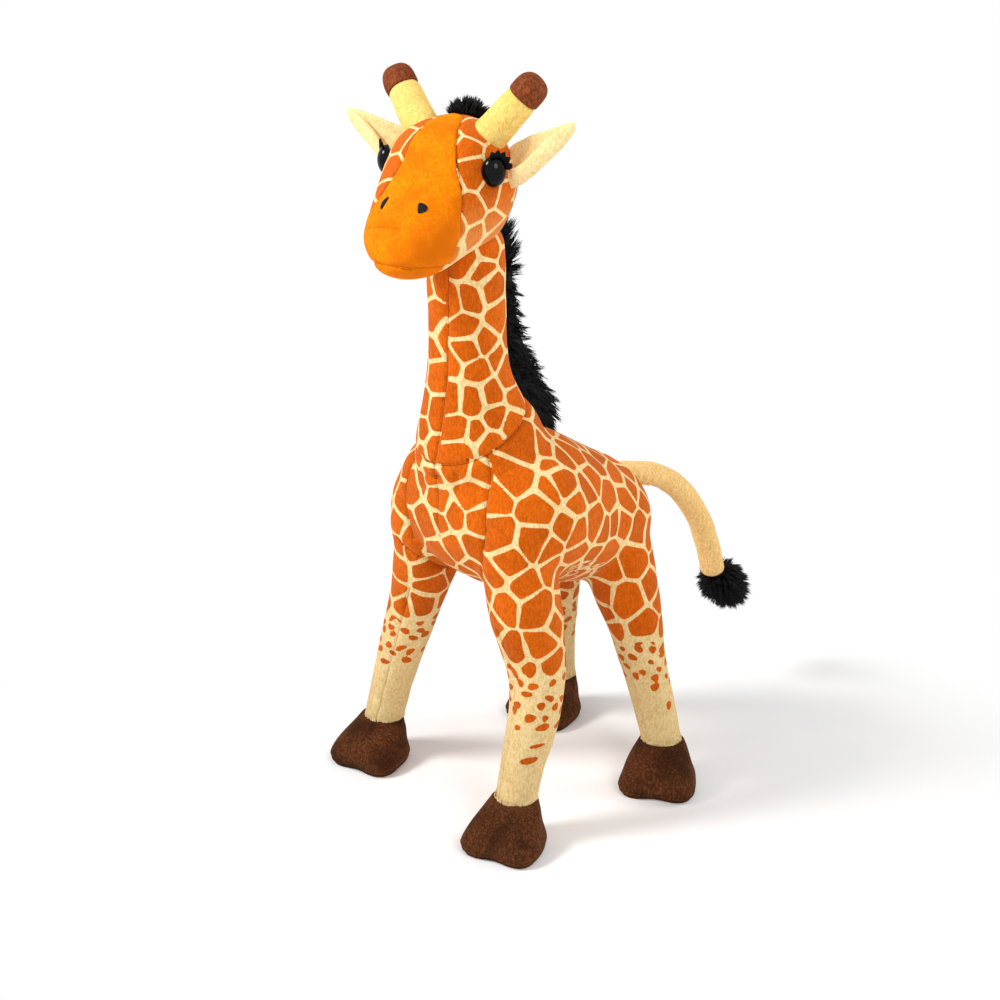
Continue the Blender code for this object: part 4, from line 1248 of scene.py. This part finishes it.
class GIRAFFE_OT_horns(bpy.types.Operator):
    """Make the two horn posts and their brown caps"""

    bl_idname = "giraffe.horns"
    bl_label = "Horns"

    def execute(self, context):
        splay, lean = math.radians(40), math.radians(13)
        r, split, top = 0.0083, 0.0255, 0.0383
        for label, side in (("left", 1), ("right", -1)):
            out = HEAD_FROM.to_3x3() @ Vector((side * math.sin(splay), math.sin(lean), math.cos(splay)))
            spot = HEAD_FROM @ Vector((side * 0.0180, -0.0090, 0.3625))
            levels = (-0.004, -0.003, split * 0.12, split * 0.3, split * 0.6, split * 0.9,
                      split + 0.0012, split + 0.002)
            wides = [r * share for share in (1.0, 1.10, 1.04, 0.99, 0.99, 0.90)]
            post = ringed("horn_post_" + label, [(0, 0, z) for z in levels], wides, wides, 16, levels=3)
            tall = top - split
            shares = ((0.0, 0.94), (0.05, 1.0), (0.26, 1.01), (0.56, 0.98), (0.82, 0.82), (0.96, 0.50))
            levels = [split - 0.0004] + [split + tall * along for along, _ in shares] + [top]
            wides = [r * share for _, share in shares]
            cap = ringed("horn_tip_" + label, [(0, 0, z) for z in levels], wides, wides, 16, levels=3)
            for obj, cloth, slot, node in ((post, "horn", "cream_plush", "horn_"),
                                           (cap, "cap", "cap_plush", "horn_cap_")):
                swell(obj, lumps(points(obj), 0.011, 21 + side) * 0.00022)
                turned(obj, out, (0, 1, 0), spot)
                clothe(obj)
                obj.data.shade_smooth()
                finished(obj, material(cloth))
                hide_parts(node + label)
                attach(obj, "head")
        return {"FINISHED"}


class GIRAFFE_OT_ears(bpy.types.Operator):
    """Make the two ears, each a leaf of cloth folded along its length"""

    bl_idname = "giraffe.ears"
    bl_label = "Ears"

    def execute(self, context):
        for label, side, lift in (("left", 1, 30), ("right", -1, 24)):
            self.ear(label, side, math.radians(lift))
        return {"FINISHED"}

    def ear(self, label, side, lift):
        length, tall = (0.0350 if side > 0 else 0.0400), 0.0126
        obj = sheet("ear_leaf_" + label, 28, 20)
        co = points(obj)
        u = (co[:, 0] + 1) / 2
        t = co[:, 1]
        shape = np.interp(u, [0, 0.10, 0.30, 0.50, 0.70, 0.86, 0.95, 1.0],
                          [0.92, 1.06, 1.06, 0.88, 0.66, 0.44, 0.28, 0.06])
        across = [-1, -0.75, -0.4, 0, 0.35, 0.7, 1]
        z = np.interp(t, across, [-0.30, -0.62, -0.98, -0.70, -0.22, 0.24, 0.62])
        y = np.interp(t, across, [-0.40, -0.46, -0.30, -0.06, 0.10, 0.16, 0.12])
        cup = np.interp(u, [0, 0.3, 0.8, 1.0], [0.9, 1.0, 0.75, 0.45])
        z = z + 0.75 * smooth_between(u, 0.25, 0.95) * np.clip((-0.4 - t) / 0.6, 0, 1)
        x_at = side * length * (u * 1.04 - 0.06)
        rise = length * math.tan(lift) * np.clip(u, 0, 1) ** 1.15
        made = np.stack([x_at, y * shape * tall * cup, z * shape * tall + rise], 1)
        set_points(obj, made)
        modify(obj, "SMOOTH", factor=0.5, iterations=3)
        modify(obj, "SOLIDIFY", thickness=0.0026, offset=0)
        modify(obj, "SUBSURF", levels=1, render_levels=1)
        outward(obj)
        spot = HEAD_FROM @ Vector((side * 0.0285, -0.0040, 0.3515))
        obj.data.transform(Matrix.Translation(spot) @ Matrix.Rotation(HEAD_TURN, 4, "Z"))
        swell(obj, lumps(points(obj), 0.012, 31 + side) * 0.0002)
        clothe(obj)
        obj.data.shade_smooth()
        finished(obj, material("pale"))
        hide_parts("ear_" + label)
        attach(obj, "ear_" + label)


# Hooves

HOOF_FORWARD, HOOF_LOBE, HOOF_NOTCH = 0.0095, 0.0052, 0.0080
HOOF_RADIUS, SOLE_RADIUS = 0.0200, 0.0178


def hoof_outline(angle, radius, lobe, notch):
    """How far the hoof reaches at an angle from its front: two lobes with a cleft between them."""
    away = np.degrees(np.abs(angle))
    return radius + lobe * np.exp(-((away - 48) / 27) ** 2) - 0.30 * notch * np.exp(-(away / 27) ** 2)


class GIRAFFE_OT_hooves(bpy.types.Operator):
    """Make the four cloven hooves and their soles"""

    bl_idname = "giraffe.hooves"
    bl_label = "Hooves"

    def execute(self, context):
        for label, (_, ankle, _, turn) in HIPS.items():
            place = Matrix.Translation((*ankle, 0)) @ Matrix.Rotation(math.radians(turn), 4, "Z")
            self.hoof(label, place)
            self.sole(label, place)
        return {"FINISHED"}

    def hoof(self, label, place):
        height = 0.0262
        # Shares of the height, the radius, the lobes, the cleft and the way forward
        shares = ((0.055, 0.93, 1.0, 1.0, 1.0), (0.085, 1.0, 1.0, 1.0, 1.0), (0.20, 1.03, 1.0, 0.95, 1.0),
                  (0.40, 0.97, 0.85, 0.7, 0.95), (0.60, 0.88, 0.62, 0.42, 0.76),
                  (0.80, 0.73, 0.3, 0.15, 0.42), (0.93, 0.635, 0.1, 0.0, 0.18), (0.975, 0.61, 0.0, 0.0, 0.10))
        last = len(shares) + 1
        obj = ball("hoof_cloth_" + label, 32, last)
        for vertex in obj.data.vertices:
            row = round(math.acos(max(-1, min(1, -vertex.co.z))) / math.pi * last)
            angle = math.atan2(vertex.co.x, -vertex.co.y)
            if row == 0:
                vertex.co = (0, -HOOF_FORWARD, 0.0014)
            elif row == last:
                vertex.co = (0, 0, height * 0.90)
            else:
                high, wide, lobe, notch, ahead = shares[row - 1]
                reach = float(hoof_outline(angle, HOOF_RADIUS * wide, HOOF_LOBE * lobe, HOOF_NOTCH * notch))
                y = -math.cos(angle) * reach - HOOF_FORWARD * ahead
                vertex.co = (math.sin(angle) * reach, y, height * high)
        modify(obj, "SUBSURF", levels=3, render_levels=3)
        outward(obj)
        co = points(obj)
        seam = np.abs(co[:, 2] - 0.0040)
        uneven = lumps(co, 0.013, 41) * 0.0004 * smooth_between(co[:, 2], 0.002, 0.006)
        swell(obj, uneven - 0.0005 * np.exp(-(seam / 0.0008) ** 2))
        obj.data.transform(place)
        clothe(obj, seam)
        obj.data.shade_smooth()
        finished(obj, material("brown"))
        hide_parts("hoof_" + label)
        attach(obj, "leg_" + label)

    def sole(self, label, place):
        deselect()
        bpy.ops.mesh.primitive_circle_add(vertices=72, radius=1, fill_type="NGON")
        obj = bpy.context.object
        obj.name = "sole_cloth_" + label
        for vertex in obj.data.vertices:
            angle = math.atan2(vertex.co.x, -vertex.co.y)
            reach = float(hoof_outline(angle, SOLE_RADIUS, HOOF_LOBE, HOOF_NOTCH))
            vertex.co = (math.sin(angle) * reach, -math.cos(angle) * reach - HOOF_FORWARD, 0.0)
        with editing(obj):
            bpy.ops.mesh.extrude_region_move(TRANSFORM_OT_translate={"value": (0, 0, 0.0016)})
            bpy.ops.mesh.select_all(action="SELECT")
            bpy.ops.mesh.normals_make_consistent(inside=False)
        modify(obj, "BEVEL", width=0.0004, segments=2, limit_method="ANGLE")
        obj.data.transform(place)
        clothe(obj)
        only(obj)
        bpy.ops.object.shade_smooth_by_angle(angle=math.radians(35))
        finished(obj, material("brown"))
        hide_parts("sole_" + label)
        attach(obj, "leg_" + label)


# Tail

TAIL_ROOT = Vector((MIDDLE_X, 0.03088, 0.164))
TAIL_REACH, TAIL_FALL = 0.0910, 0.0850
# Shares of the reach and of the fall along the tail
TAIL_SHARES = ((0.0, 0.0), (0.10, -0.015), (0.22, -0.05), (0.32, -0.085), (0.42, -0.13), (0.52, -0.205),
               (0.62, -0.30), (0.70, -0.40), (0.78, -0.52), (0.84, -0.63), (0.90, -0.76),
               (0.94, -0.86), (0.965, -0.94), (0.982, -0.99))


def tail_spot(along, rise):
    sway = math.sin(math.pi * min(1.0, max(0.0, -rise)) ** 0.8)
    return TAIL_ROOT + Vector((0, TAIL_REACH * along + 0.0022 * sway, TAIL_FALL * rise))


class GIRAFFE_OT_tail(bpy.types.Operator):
    """Make the tan tube of the tail"""

    bl_idname = "giraffe.tail"
    bl_label = "Tail"

    def execute(self, context):
        path = [TAIL_ROOT - Vector((0, 0.0080, 0)), TAIL_ROOT - Vector((0, 0.0060, 0))]
        wides = [0.0058]
        for along, rise in TAIL_SHARES:
            path.append(tail_spot(along, rise))
            wides.append(0.0064 + 0.0009 * min(along, 0.9))
        path.append(tail_spot(0.985, -1.0) + Vector((0, 0, -0.0012)))
        obj = ringed("tail_cloth", path, wides, wides, 16, levels=3)
        co = points(obj)
        along = (co[:, 1] - TAIL_ROOT.y) / TAIL_REACH
        under = np.clip(0.45 - normals(obj)[:, 2], 0, 1)
        near = np.exp(-((along - 0.19) / 0.12) ** 2)
        ripple = np.sin(co[:, 1] * 2 * math.pi / 0.0062) * under * near
        swell(obj, lumps(co, 0.018, 51) * 0.0002 + ripple * 0.00075)
        clothe(obj)
        obj.data.shade_smooth()
        finished(obj, material("tan"))
        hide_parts("tail")
        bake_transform(obj)
        return {"FINISHED"}


# Long fur

def strand_form():
    """One hair: a three-sided cone of unit length, cut in three steps and filled out below its tip."""
    deselect()
    bpy.ops.mesh.primitive_cone_add(vertices=3, radius1=1, radius2=0, depth=1, end_fill_type="NOTHING",
                                    location=(0, 0, 0.5))
    obj = bpy.context.object
    with editing(obj):
        for high in (0.35, 0.70):
            bpy.ops.mesh.select_all(action="SELECT")
            bpy.ops.mesh.bisect(plane_co=(0, 0, high), plane_no=(0, 0, 1))
        bpy.ops.mesh.select_all(action="SELECT")
        bpy.ops.mesh.quads_convert_to_tris()
    co = points(obj) + np.array((0, 0, 0.5))
    co[:, :2] *= np.interp(co[:, 2], [0, 0.35, 0.70, 1], [1.0, 1.38, 2.0, 1.0])[:, None]
    faces = np.array([tuple(face.vertices) for face in obj.data.polygons])
    bpy.data.objects.remove(obj, do_unlink=True)
    return co, faces


def strands(name, roots, ways, lengths, thick, droop, seed, cloth="fur", gather=1.0):
    """Hairs from these roots, gathered in small locks, as one mesh."""
    made = np.random.default_rng(seed)
    form, faces = strand_form()
    count = len(roots)
    ways = ways / np.linalg.norm(ways, axis=1)[:, None]
    tips = roots + ways * lengths[:, None]
    # Locks: each tip leans towards the tip of a hair near it
    picked = made.choice(count, max(1, count // 16), replace=False)
    tree = KDTree(len(picked))
    for i, k in enumerate(picked):
        tree.insert(roots[k], i)
    tree.balance()
    lock = np.array([picked[tree.find(r)[1]] for r in roots])
    pull = made.uniform(0.35, 0.85, count)[:, None]
    stray = made.normal(size=(count, 3)) * lengths[:, None] * 0.05
    tips = tips + (tips[lock] - tips) * pull * gather + stray
    middle = (roots + tips) / 2 + ways * lengths[:, None] * 0.10
    tips = tips + np.array(droop) * lengths[:, None]
    s = form[:, 2][None, :, None]
    spine = roots[:, None] * (1 - s) ** 2 + middle[:, None] * 2 * s * (1 - s) + tips[:, None] * s * s
    along = tips - roots
    along /= np.linalg.norm(along, axis=1)[:, None]
    ref = np.where(np.abs(along[:, :1]) < 0.9, np.array([[1.0, 0, 0]]), np.array([[0, 1.0, 0]]))
    one = np.cross(along, ref)
    one /= np.linalg.norm(one, axis=1)[:, None]
    two = np.cross(along, one)
    turn = made.uniform(0, 6.3, count)[:, None]
    one, two = one * np.cos(turn) + two * np.sin(turn), two * np.cos(turn) - one * np.sin(turn)
    fat = (thick * made.uniform(0.7, 1.3, count))[:, None, None]
    co = spine + (one[:, None] * form[None, :, :1] + two[:, None] * form[None, :, 1:2]) * fat
    tris = (faces[None] + (np.arange(count) * len(form))[:, None, None]).reshape(-1, 3)
    mesh = bpy.data.meshes.new(name)
    mesh.from_pydata(co.reshape(-1, 3), [], tris)
    obj = bpy.data.objects.new(name, mesh)
    bpy.context.scene.collection.objects.link(obj)
    # Painted shade along each hair, from dark at the root to light at the tip
    shade = np.clip(form[:, 2][None] * made.uniform(0.4, 1.3, count)[:, None], 0, 1)
    store(obj, "strand", shade.ravel())
    mesh.shade_smooth()
    outward(obj)
    return finished(obj, material(cloth))


def scattered(obj, count, seed):
    """(points, outward directions) spread evenly over a mesh."""
    made = np.random.default_rng(seed)
    obj.data.calc_loop_triangles()
    tri = np.empty(len(obj.data.loop_triangles) * 3, np.int32)
    obj.data.loop_triangles.foreach_get("vertices", tri)
    tri = tri.reshape(-1, 3)
    co, out = points(obj), normals(obj)
    size = np.linalg.norm(np.cross(co[tri[:, 1]] - co[tri[:, 0]], co[tri[:, 2]] - co[tri[:, 0]]), axis=1)
    pick = made.choice(len(tri), count, p=size / size.sum())
    a, b = made.random((2, count, 1))
    a, b = np.where(a + b > 1, 1 - a, a), np.where(a + b > 1, 1 - b, b)
    t = tri[pick]
    spot = co[t[:, 0]] * (1 - a - b) + co[t[:, 1]] * a + co[t[:, 2]] * b
    way = out[t[:, 0]] * (1 - a - b) + out[t[:, 1]] * a + out[t[:, 2]] * b
    return spot, way / np.linalg.norm(way, axis=1)[:, None]


def core_of(node, name, shrink):
    """The dark cloth under the fur: a copy of the solid, merged and drawn in."""
    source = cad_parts[node]
    only(source)
    obj = source.copy()
    obj.data = source.data.copy()
    bpy.context.scene.collection.objects.link(obj)
    for key in list(obj.keys()):
        del obj[key]
    obj.parent = None
    obj.data.transform(source.matrix_world)
    obj.matrix_world = Matrix.Identity(4)
    obj.name = name
    with editing(obj):
        bpy.ops.mesh.remove_doubles(threshold=0.00002)
        bpy.ops.mesh.normals_make_consistent(inside=False)
    modify(obj, "REMESH", mode="VOXEL", voxel_size=0.0011, adaptivity=0)
    modify(obj, "SMOOTH", factor=0.5, iterations=6)
    set_points(obj, points(obj) - normals(obj) * shrink)
    # The backing takes the hairs' root colour, the darkest of their painted shade
    store(obj, "strand", np.zeros(len(obj.data.vertices)))
    obj.data.shade_smooth()
    return finished(obj, material("fur"))


class GIRAFFE_OT_fur(bpy.types.Operator):
    """Grow the mane, the forelock and the tuft of the tail"""

    bl_idname = "giraffe.fur"
    bl_label = "Long fur"

    def execute(self, context):
        props = context.scene.giraffe_fur
        self.mane(props)
        self.forelock(props)
        self.tuft(props)
        for label in HIPS:
            self.ankle(label)
        self.belly()
        return {"FINISHED"}

    def ankle(self, label):
        """The pile of the leg hangs a little over the top of the hoof."""
        made = np.random.default_rng(len(label))
        count = 330
        angle = made.uniform(0, 2 * math.pi, count)
        z = made.uniform(0.0262, 0.0276, count)
        x, y = leg_centre(label, z)
        out = np.stack([np.cos(angle), np.sin(angle), np.zeros(count)], 1)
        spot = np.stack([x, y, z], 1) + out * 0.0110
        hair = strands("ankle_pile_" + label, spot, out * 0.22 + np.array((0, 0, -1.0)),
                       made.uniform(0.0020, 0.0030, count), 0.00020, (0, 0, 0), 61, "pile")
        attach(hair, "leg_" + label)

    def belly(self):
        """Long pile along the seam of the belly, brushed backwards."""
        skin = bpy.data.objects["cloth_torso"]
        spot, way = scattered(skin, 24000, 71)
        side = np.abs(spot[:, 0] - MIDDLE_X)
        keep = (side > 0.018) & (way[:, 2] < -0.60) & (way[:, 2] > -0.92)
        keep &= (spot[:, 1] > -0.052) & (spot[:, 1] < -0.020)
        spot, way = spot[keep][:190], way[keep][:190]
        made = np.random.default_rng(72)
        hair = strands("belly_pile", spot - way * 0.0002, way * 0.42 + np.array((0, 0.95, 0.42)),
                       made.uniform(0.0034, 0.0056, len(spot)), 0.00042, (0, 0, 0), 73, "pile", 0.12)
        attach(hair, "torso")

    def mane(self, props):
        core = core_of("mane", "mane_backing", 0.0035)
        self.seat(core)
        spot, way = scattered(core, int(props.mane_hairs), 7)
        way = way * np.array((0.8, 1.0, 0.6)) + np.array((0, 0.35, -0.22))
        keep = (way[:, 1] > -0.15) | (spot[:, 2] > 0.300)
        spot, way = spot[keep], way[keep]
        made = np.random.default_rng(8)
        high = smooth_between(spot[:, 2], 0.284, 0.303)
        way = way * (1 - 0.5 * high[:, None]) + high[:, None] * np.array((0, 0.10, 1.15))
        low = 1 - smooth_between(spot[:, 2], 0.205, 0.245)
        way = way + low[:, None] * np.array((0, 0.15, -0.75))
        reach = props.mane_length * made.uniform(0.65, 1.15, len(spot)) * (1 + 0.35 * low + 0.95 * high)
        hair = strands("mane_hair", spot, way, reach, 0.00022, (0, 0.0, -0.12), 9)
        for obj in (core, hair):
            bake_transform(obj)
        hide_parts("mane")

    def seat(self, core):
        """The side of the mane that faces the neck is drawn against the cloth, and a little into it."""
        skins = [bpy.data.objects[name] for name in ("cloth_neck", "cloth_torso")]
        co, out = points(core), normals(core)
        for i in range(len(co)):
            found = [skin.closest_point_on_mesh(Vector(co[i]))[1] for skin in skins]
            spot = np.array(min(found, key=lambda p: (p - Vector(co[i])).length))
            way = spot - co[i]
            apart = np.linalg.norm(way)
            way = way / max(apart, 1e-6)
            share = float(smooth_between(out[i] @ way, -0.35, 0.35))
            co[i] += way * (apart + 0.0012) * share
        set_points(core, co)
        modify(core, "SMOOTH", factor=0.5, iterations=1)

    def forelock(self, props):
        core = core_of("forelock", "forelock_backing", 0.0024)
        set_points(core, points(core) - np.array((0, 0, 0.0034)))
        spot, way = scattered(core, int(props.tuft_hairs * 0.5), 17)
        keep = way[:, 2] > -0.25
        spot, way = spot[keep], way[keep] + np.array((0, 0.1, 0.35))
        made = np.random.default_rng(18)
        reach = 0.0060 * made.uniform(0.6, 1.2, len(spot))
        hair = strands("forelock_hair", spot, way, reach, 0.00022, (0, 0, 0), 19)
        for obj in (core, hair):
            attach(obj, "head")
        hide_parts("forelock")

    def tuft(self, props):
        core = core_of("tail_tuft", "tuft_backing", 0.0055)
        spot, way = scattered(core, int(props.tuft_hairs), 27)
        way = way * np.array((1.1, 1.15, 0.8)) + np.array((0, 0.30, -0.30))
        made = np.random.default_rng(28)
        reach = props.tuft_length * made.uniform(0.6, 1.15, len(spot))
        hair = strands("tuft_hair", spot, way, reach, 0.00024, (0, 0.05, -0.10), 29)
        for obj in (core, hair):
            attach(obj, "tail")
        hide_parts("tail_tuft")


# Studio

class GIRAFFE_OT_stage(bpy.types.Operator):
    """Set the floor, the lamps and the camera"""

    bl_idname = "giraffe.stage"
    bl_label = "Studio"

    def execute(self, context):
        props = context.scene.giraffe_studio
        deselect()
        bpy.ops.mesh.primitive_plane_add(size=6)
        floor = bpy.context.object
        floor.name = "floor"
        made, t, shader = new_material("Studio floor")
        at = t.node("ShaderNodeTexCoord").outputs["Object"]
        grain = t.noise(at, 40.0, 3.0)
        t.give(shader, {"Base Color": t.mix(grain, (0.90, 0.90, 0.90, 1), (0.94, 0.94, 0.94, 1)),
                        "Roughness": 0.9, "Specular IOR Level": 0.1})
        # Away from the toy the floor turns into the white of the room, where it is seen directly or in gloss
        far = t.node("ShaderNodeVectorMath", {0: at}, operation="LENGTH").outputs["Value"]
        seen = self.seen(t)
        white = t.node("ShaderNodeEmission", {"Color": (1, 1, 1, 1), "Strength": 1.0})
        mixed = t.node("ShaderNodeMixShader", {0: t.math("MULTIPLY", t.ramp(far, 0.12, 0.36), seen),
                                               1: shader.outputs[0], 2: white.outputs[0]})
        t.feed(made.node_tree.nodes["Material Output"].inputs["Surface"], mixed.outputs[0])
        finished(floor, made)

        self.lamp("key", (-0.44, -0.86, 1.02), 0.38, props.key_power)
        self.lamp("fill", (0.86, -0.30, 0.78), 0.5, props.fill_power)
        self.lamp("back", (0.55, 1.10, 0.95), 0.8, props.back_power)

        world = bpy.data.worlds.new("Studio")
        context.scene.world = world
        world.use_nodes = True
        world.node_tree.nodes.clear()
        t = Tree(world.node_tree)
        soft = t.node("ShaderNodeBackground", {"Color": (1, 1, 1, 1), "Strength": props.room_light})
        white = t.node("ShaderNodeBackground", {"Color": (1, 1, 1, 1), "Strength": 1.0})
        seen = self.seen(t)
        mixed = t.node("ShaderNodeMixShader", {0: seen, 1: soft.outputs[0], 2: white.outputs[0]})
        out = t.node("ShaderNodeOutputWorld")
        t.feed(out.inputs[0], mixed.outputs[0])

        around, up, distance = math.radians(47), math.radians(20), 0.870
        target = Vector((0.03483, -0.08512, 0.185))
        to = Vector((math.sin(around) * math.cos(up), -math.cos(around) * math.cos(up), math.sin(up)))
        deselect()
        bpy.ops.object.camera_add(location=target + to * distance)
        camera = bpy.context.object
        camera.rotation_euler = to.to_track_quat("Z", "Y").to_euler()
        camera.data.sensor_width = 36
        camera.data.lens = 62.64
        camera.data.clip_start = 0.01
        camera.data.clip_end = 50
        context.scene.camera = camera
        context.scene.view_settings.view_transform = "Standard"
        return {"FINISHED"}

    def seen(self, t):
        """1 for what the camera sees, directly or in a glossy or clear surface."""
        path = t.node("ShaderNodeLightPath").outputs
        return t.math("MAXIMUM", path["Is Camera Ray"],
                      t.math("MAXIMUM", path["Is Glossy Ray"], path["Is Transmission Ray"]))

    def lamp(self, name, place, size, power):
        bpy.ops.object.light_add(type="AREA", location=place)
        lamp = bpy.context.object
        lamp.name = name
        lamp.data.shape = "DISK"
        lamp.data.size = size
        lamp.data.energy = power
        way = Vector(place) - Vector((0, -0.03, 0.2))
        lamp.rotation_euler = way.to_track_quat("Z", "Y").to_euler()


# Add-on

class GiraffeCloth(bpy.types.PropertyGroup):
    patch_size: bpy.props.FloatProperty(
        name="Patch size", description="Mean size of a printed patch", default=0.0174, unit="LENGTH")
    line_width: bpy.props.FloatProperty(
        name="Line width", description="Width of the pale lines between patches", default=0.0021,
        unit="LENGTH")
    pile_height: bpy.props.FloatProperty(
        name="Pile height", description="Depth of the nap's relief", default=0.00042, unit="LENGTH")


class GiraffeColors(bpy.types.PropertyGroup):
    patch: bpy.props.FloatVectorProperty(
        name="Patches", description="Colour of the printed patches", default=(0.67, 0.122, 0.0012),
        min=0, max=1, subtype="COLOR")
    cream: bpy.props.FloatVectorProperty(
        name="Cream", description="Colour between the patches and of the lower legs",
        default=(0.88, 0.65, 0.30), min=0, max=1, subtype="COLOR")
    gold: bpy.props.FloatVectorProperty(
        name="Gold", description="Colour of the blaze, muzzle and chin", default=(0.93, 0.225, 0.0005),
        min=0, max=1, subtype="COLOR")
    horn: bpy.props.FloatVectorProperty(
        name="Horns", description="Colour of the horn posts", default=(0.92, 0.64, 0.17),
        min=0, max=1, subtype="COLOR")
    cap: bpy.props.FloatVectorProperty(
        name="Horn caps", description="Colour of the horn caps", default=(0.18, 0.041, 0.013),
        min=0, max=1, subtype="COLOR")
    ear: bpy.props.FloatVectorProperty(
        name="Ears", description="Colour of the ears", default=(0.97, 0.73, 0.34),
        min=0, max=1, subtype="COLOR")
    tail: bpy.props.FloatVectorProperty(
        name="Tail", description="Colour of the tail", default=(0.86, 0.55, 0.20),
        min=0, max=1, subtype="COLOR")
    hoof: bpy.props.FloatVectorProperty(
        name="Hooves", description="Colour of the hooves and soles", default=(0.078, 0.0235, 0.0068),
        min=0, max=1, subtype="COLOR")


class GiraffeFur(bpy.types.PropertyGroup):
    mane_hairs: bpy.props.IntProperty(
        name="Mane hairs", description="How many hairs the mane has", default=9500)
    mane_length: bpy.props.FloatProperty(
        name="Mane length", description="Length of the mane's hairs", default=0.0068, unit="LENGTH")
    tuft_hairs: bpy.props.IntProperty(
        name="Tuft hairs", description="How many hairs the tail's tuft has", default=6000)
    tuft_length: bpy.props.FloatProperty(
        name="Tuft length", description="Length of the tuft's hairs", default=0.0085, unit="LENGTH")


class GiraffeStudio(bpy.types.PropertyGroup):
    key_power: bpy.props.FloatProperty(
        name="Key", description="Power of the main lamp", default=12.4, unit="POWER")
    fill_power: bpy.props.FloatProperty(
        name="Fill", description="Power of the lamp on the shaded side", default=3.7, unit="POWER")
    back_power: bpy.props.FloatProperty(
        name="Back", description="Power of the lamp behind", default=7.0, unit="POWER")
    room_light: bpy.props.FloatProperty(
        name="Room light", description="Strength of the light from all around", default=0.50)


STEPS = ("body", "head", "eyes", "nostrils", "horns", "ears", "hooves", "tail", "fur", "stage")


class GIRAFFE_PT_panel(bpy.types.Panel):
    bl_idname = "GIRAFFE_PT_panel"
    bl_label = "Plush giraffe"
    bl_space_type = "VIEW_3D"
    bl_region_type = "UI"
    bl_category = "Giraffe"

    def draw(self, context):
        layout = self.layout
        for name in ("giraffe_cloth", "giraffe_colors", "giraffe_fur", "giraffe_studio"):
            settings = getattr(context.scene, name)
            box = layout.box()
            for key in settings.__annotations__:
                box.prop(settings, key)
        for step in STEPS:
            layout.operator("giraffe." + step)


CLASSES = (
    GiraffeCloth, GiraffeColors, GiraffeFur, GiraffeStudio, GIRAFFE_OT_body, GIRAFFE_OT_head,
    GIRAFFE_OT_eyes, GIRAFFE_OT_nostrils, GIRAFFE_OT_horns, GIRAFFE_OT_ears, GIRAFFE_OT_hooves,
    GIRAFFE_OT_tail, GIRAFFE_OT_fur, GIRAFFE_OT_stage, GIRAFFE_PT_panel,
)


def register():
    for cls in CLASSES:
        bpy.utils.register_class(cls)
    bpy.types.Scene.giraffe_cloth = bpy.props.PointerProperty(type=GiraffeCloth)
    bpy.types.Scene.giraffe_colors = bpy.props.PointerProperty(type=GiraffeColors)
    bpy.types.Scene.giraffe_fur = bpy.props.PointerProperty(type=GiraffeFur)
    bpy.types.Scene.giraffe_studio = bpy.props.PointerProperty(type=GiraffeStudio)


def unregister():
    del bpy.types.Scene.giraffe_cloth
    del bpy.types.Scene.giraffe_colors
    del bpy.types.Scene.giraffe_fur
    del bpy.types.Scene.giraffe_studio
    for cls in reversed(CLASSES):
        bpy.utils.unregister_class(cls)


def main():
    register()
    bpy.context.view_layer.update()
    deselect()
    bpy.ops.giraffe.body()
    bpy.ops.giraffe.head()
    bpy.ops.giraffe.eyes()
    bpy.ops.giraffe.nostrils()
    bpy.ops.giraffe.horns()
    bpy.ops.giraffe.ears()
    bpy.ops.giraffe.hooves()
    bpy.ops.giraffe.tail()
    bpy.ops.giraffe.fur()
    bpy.ops.giraffe.stage()


if __name__ == "__main__":
    main()
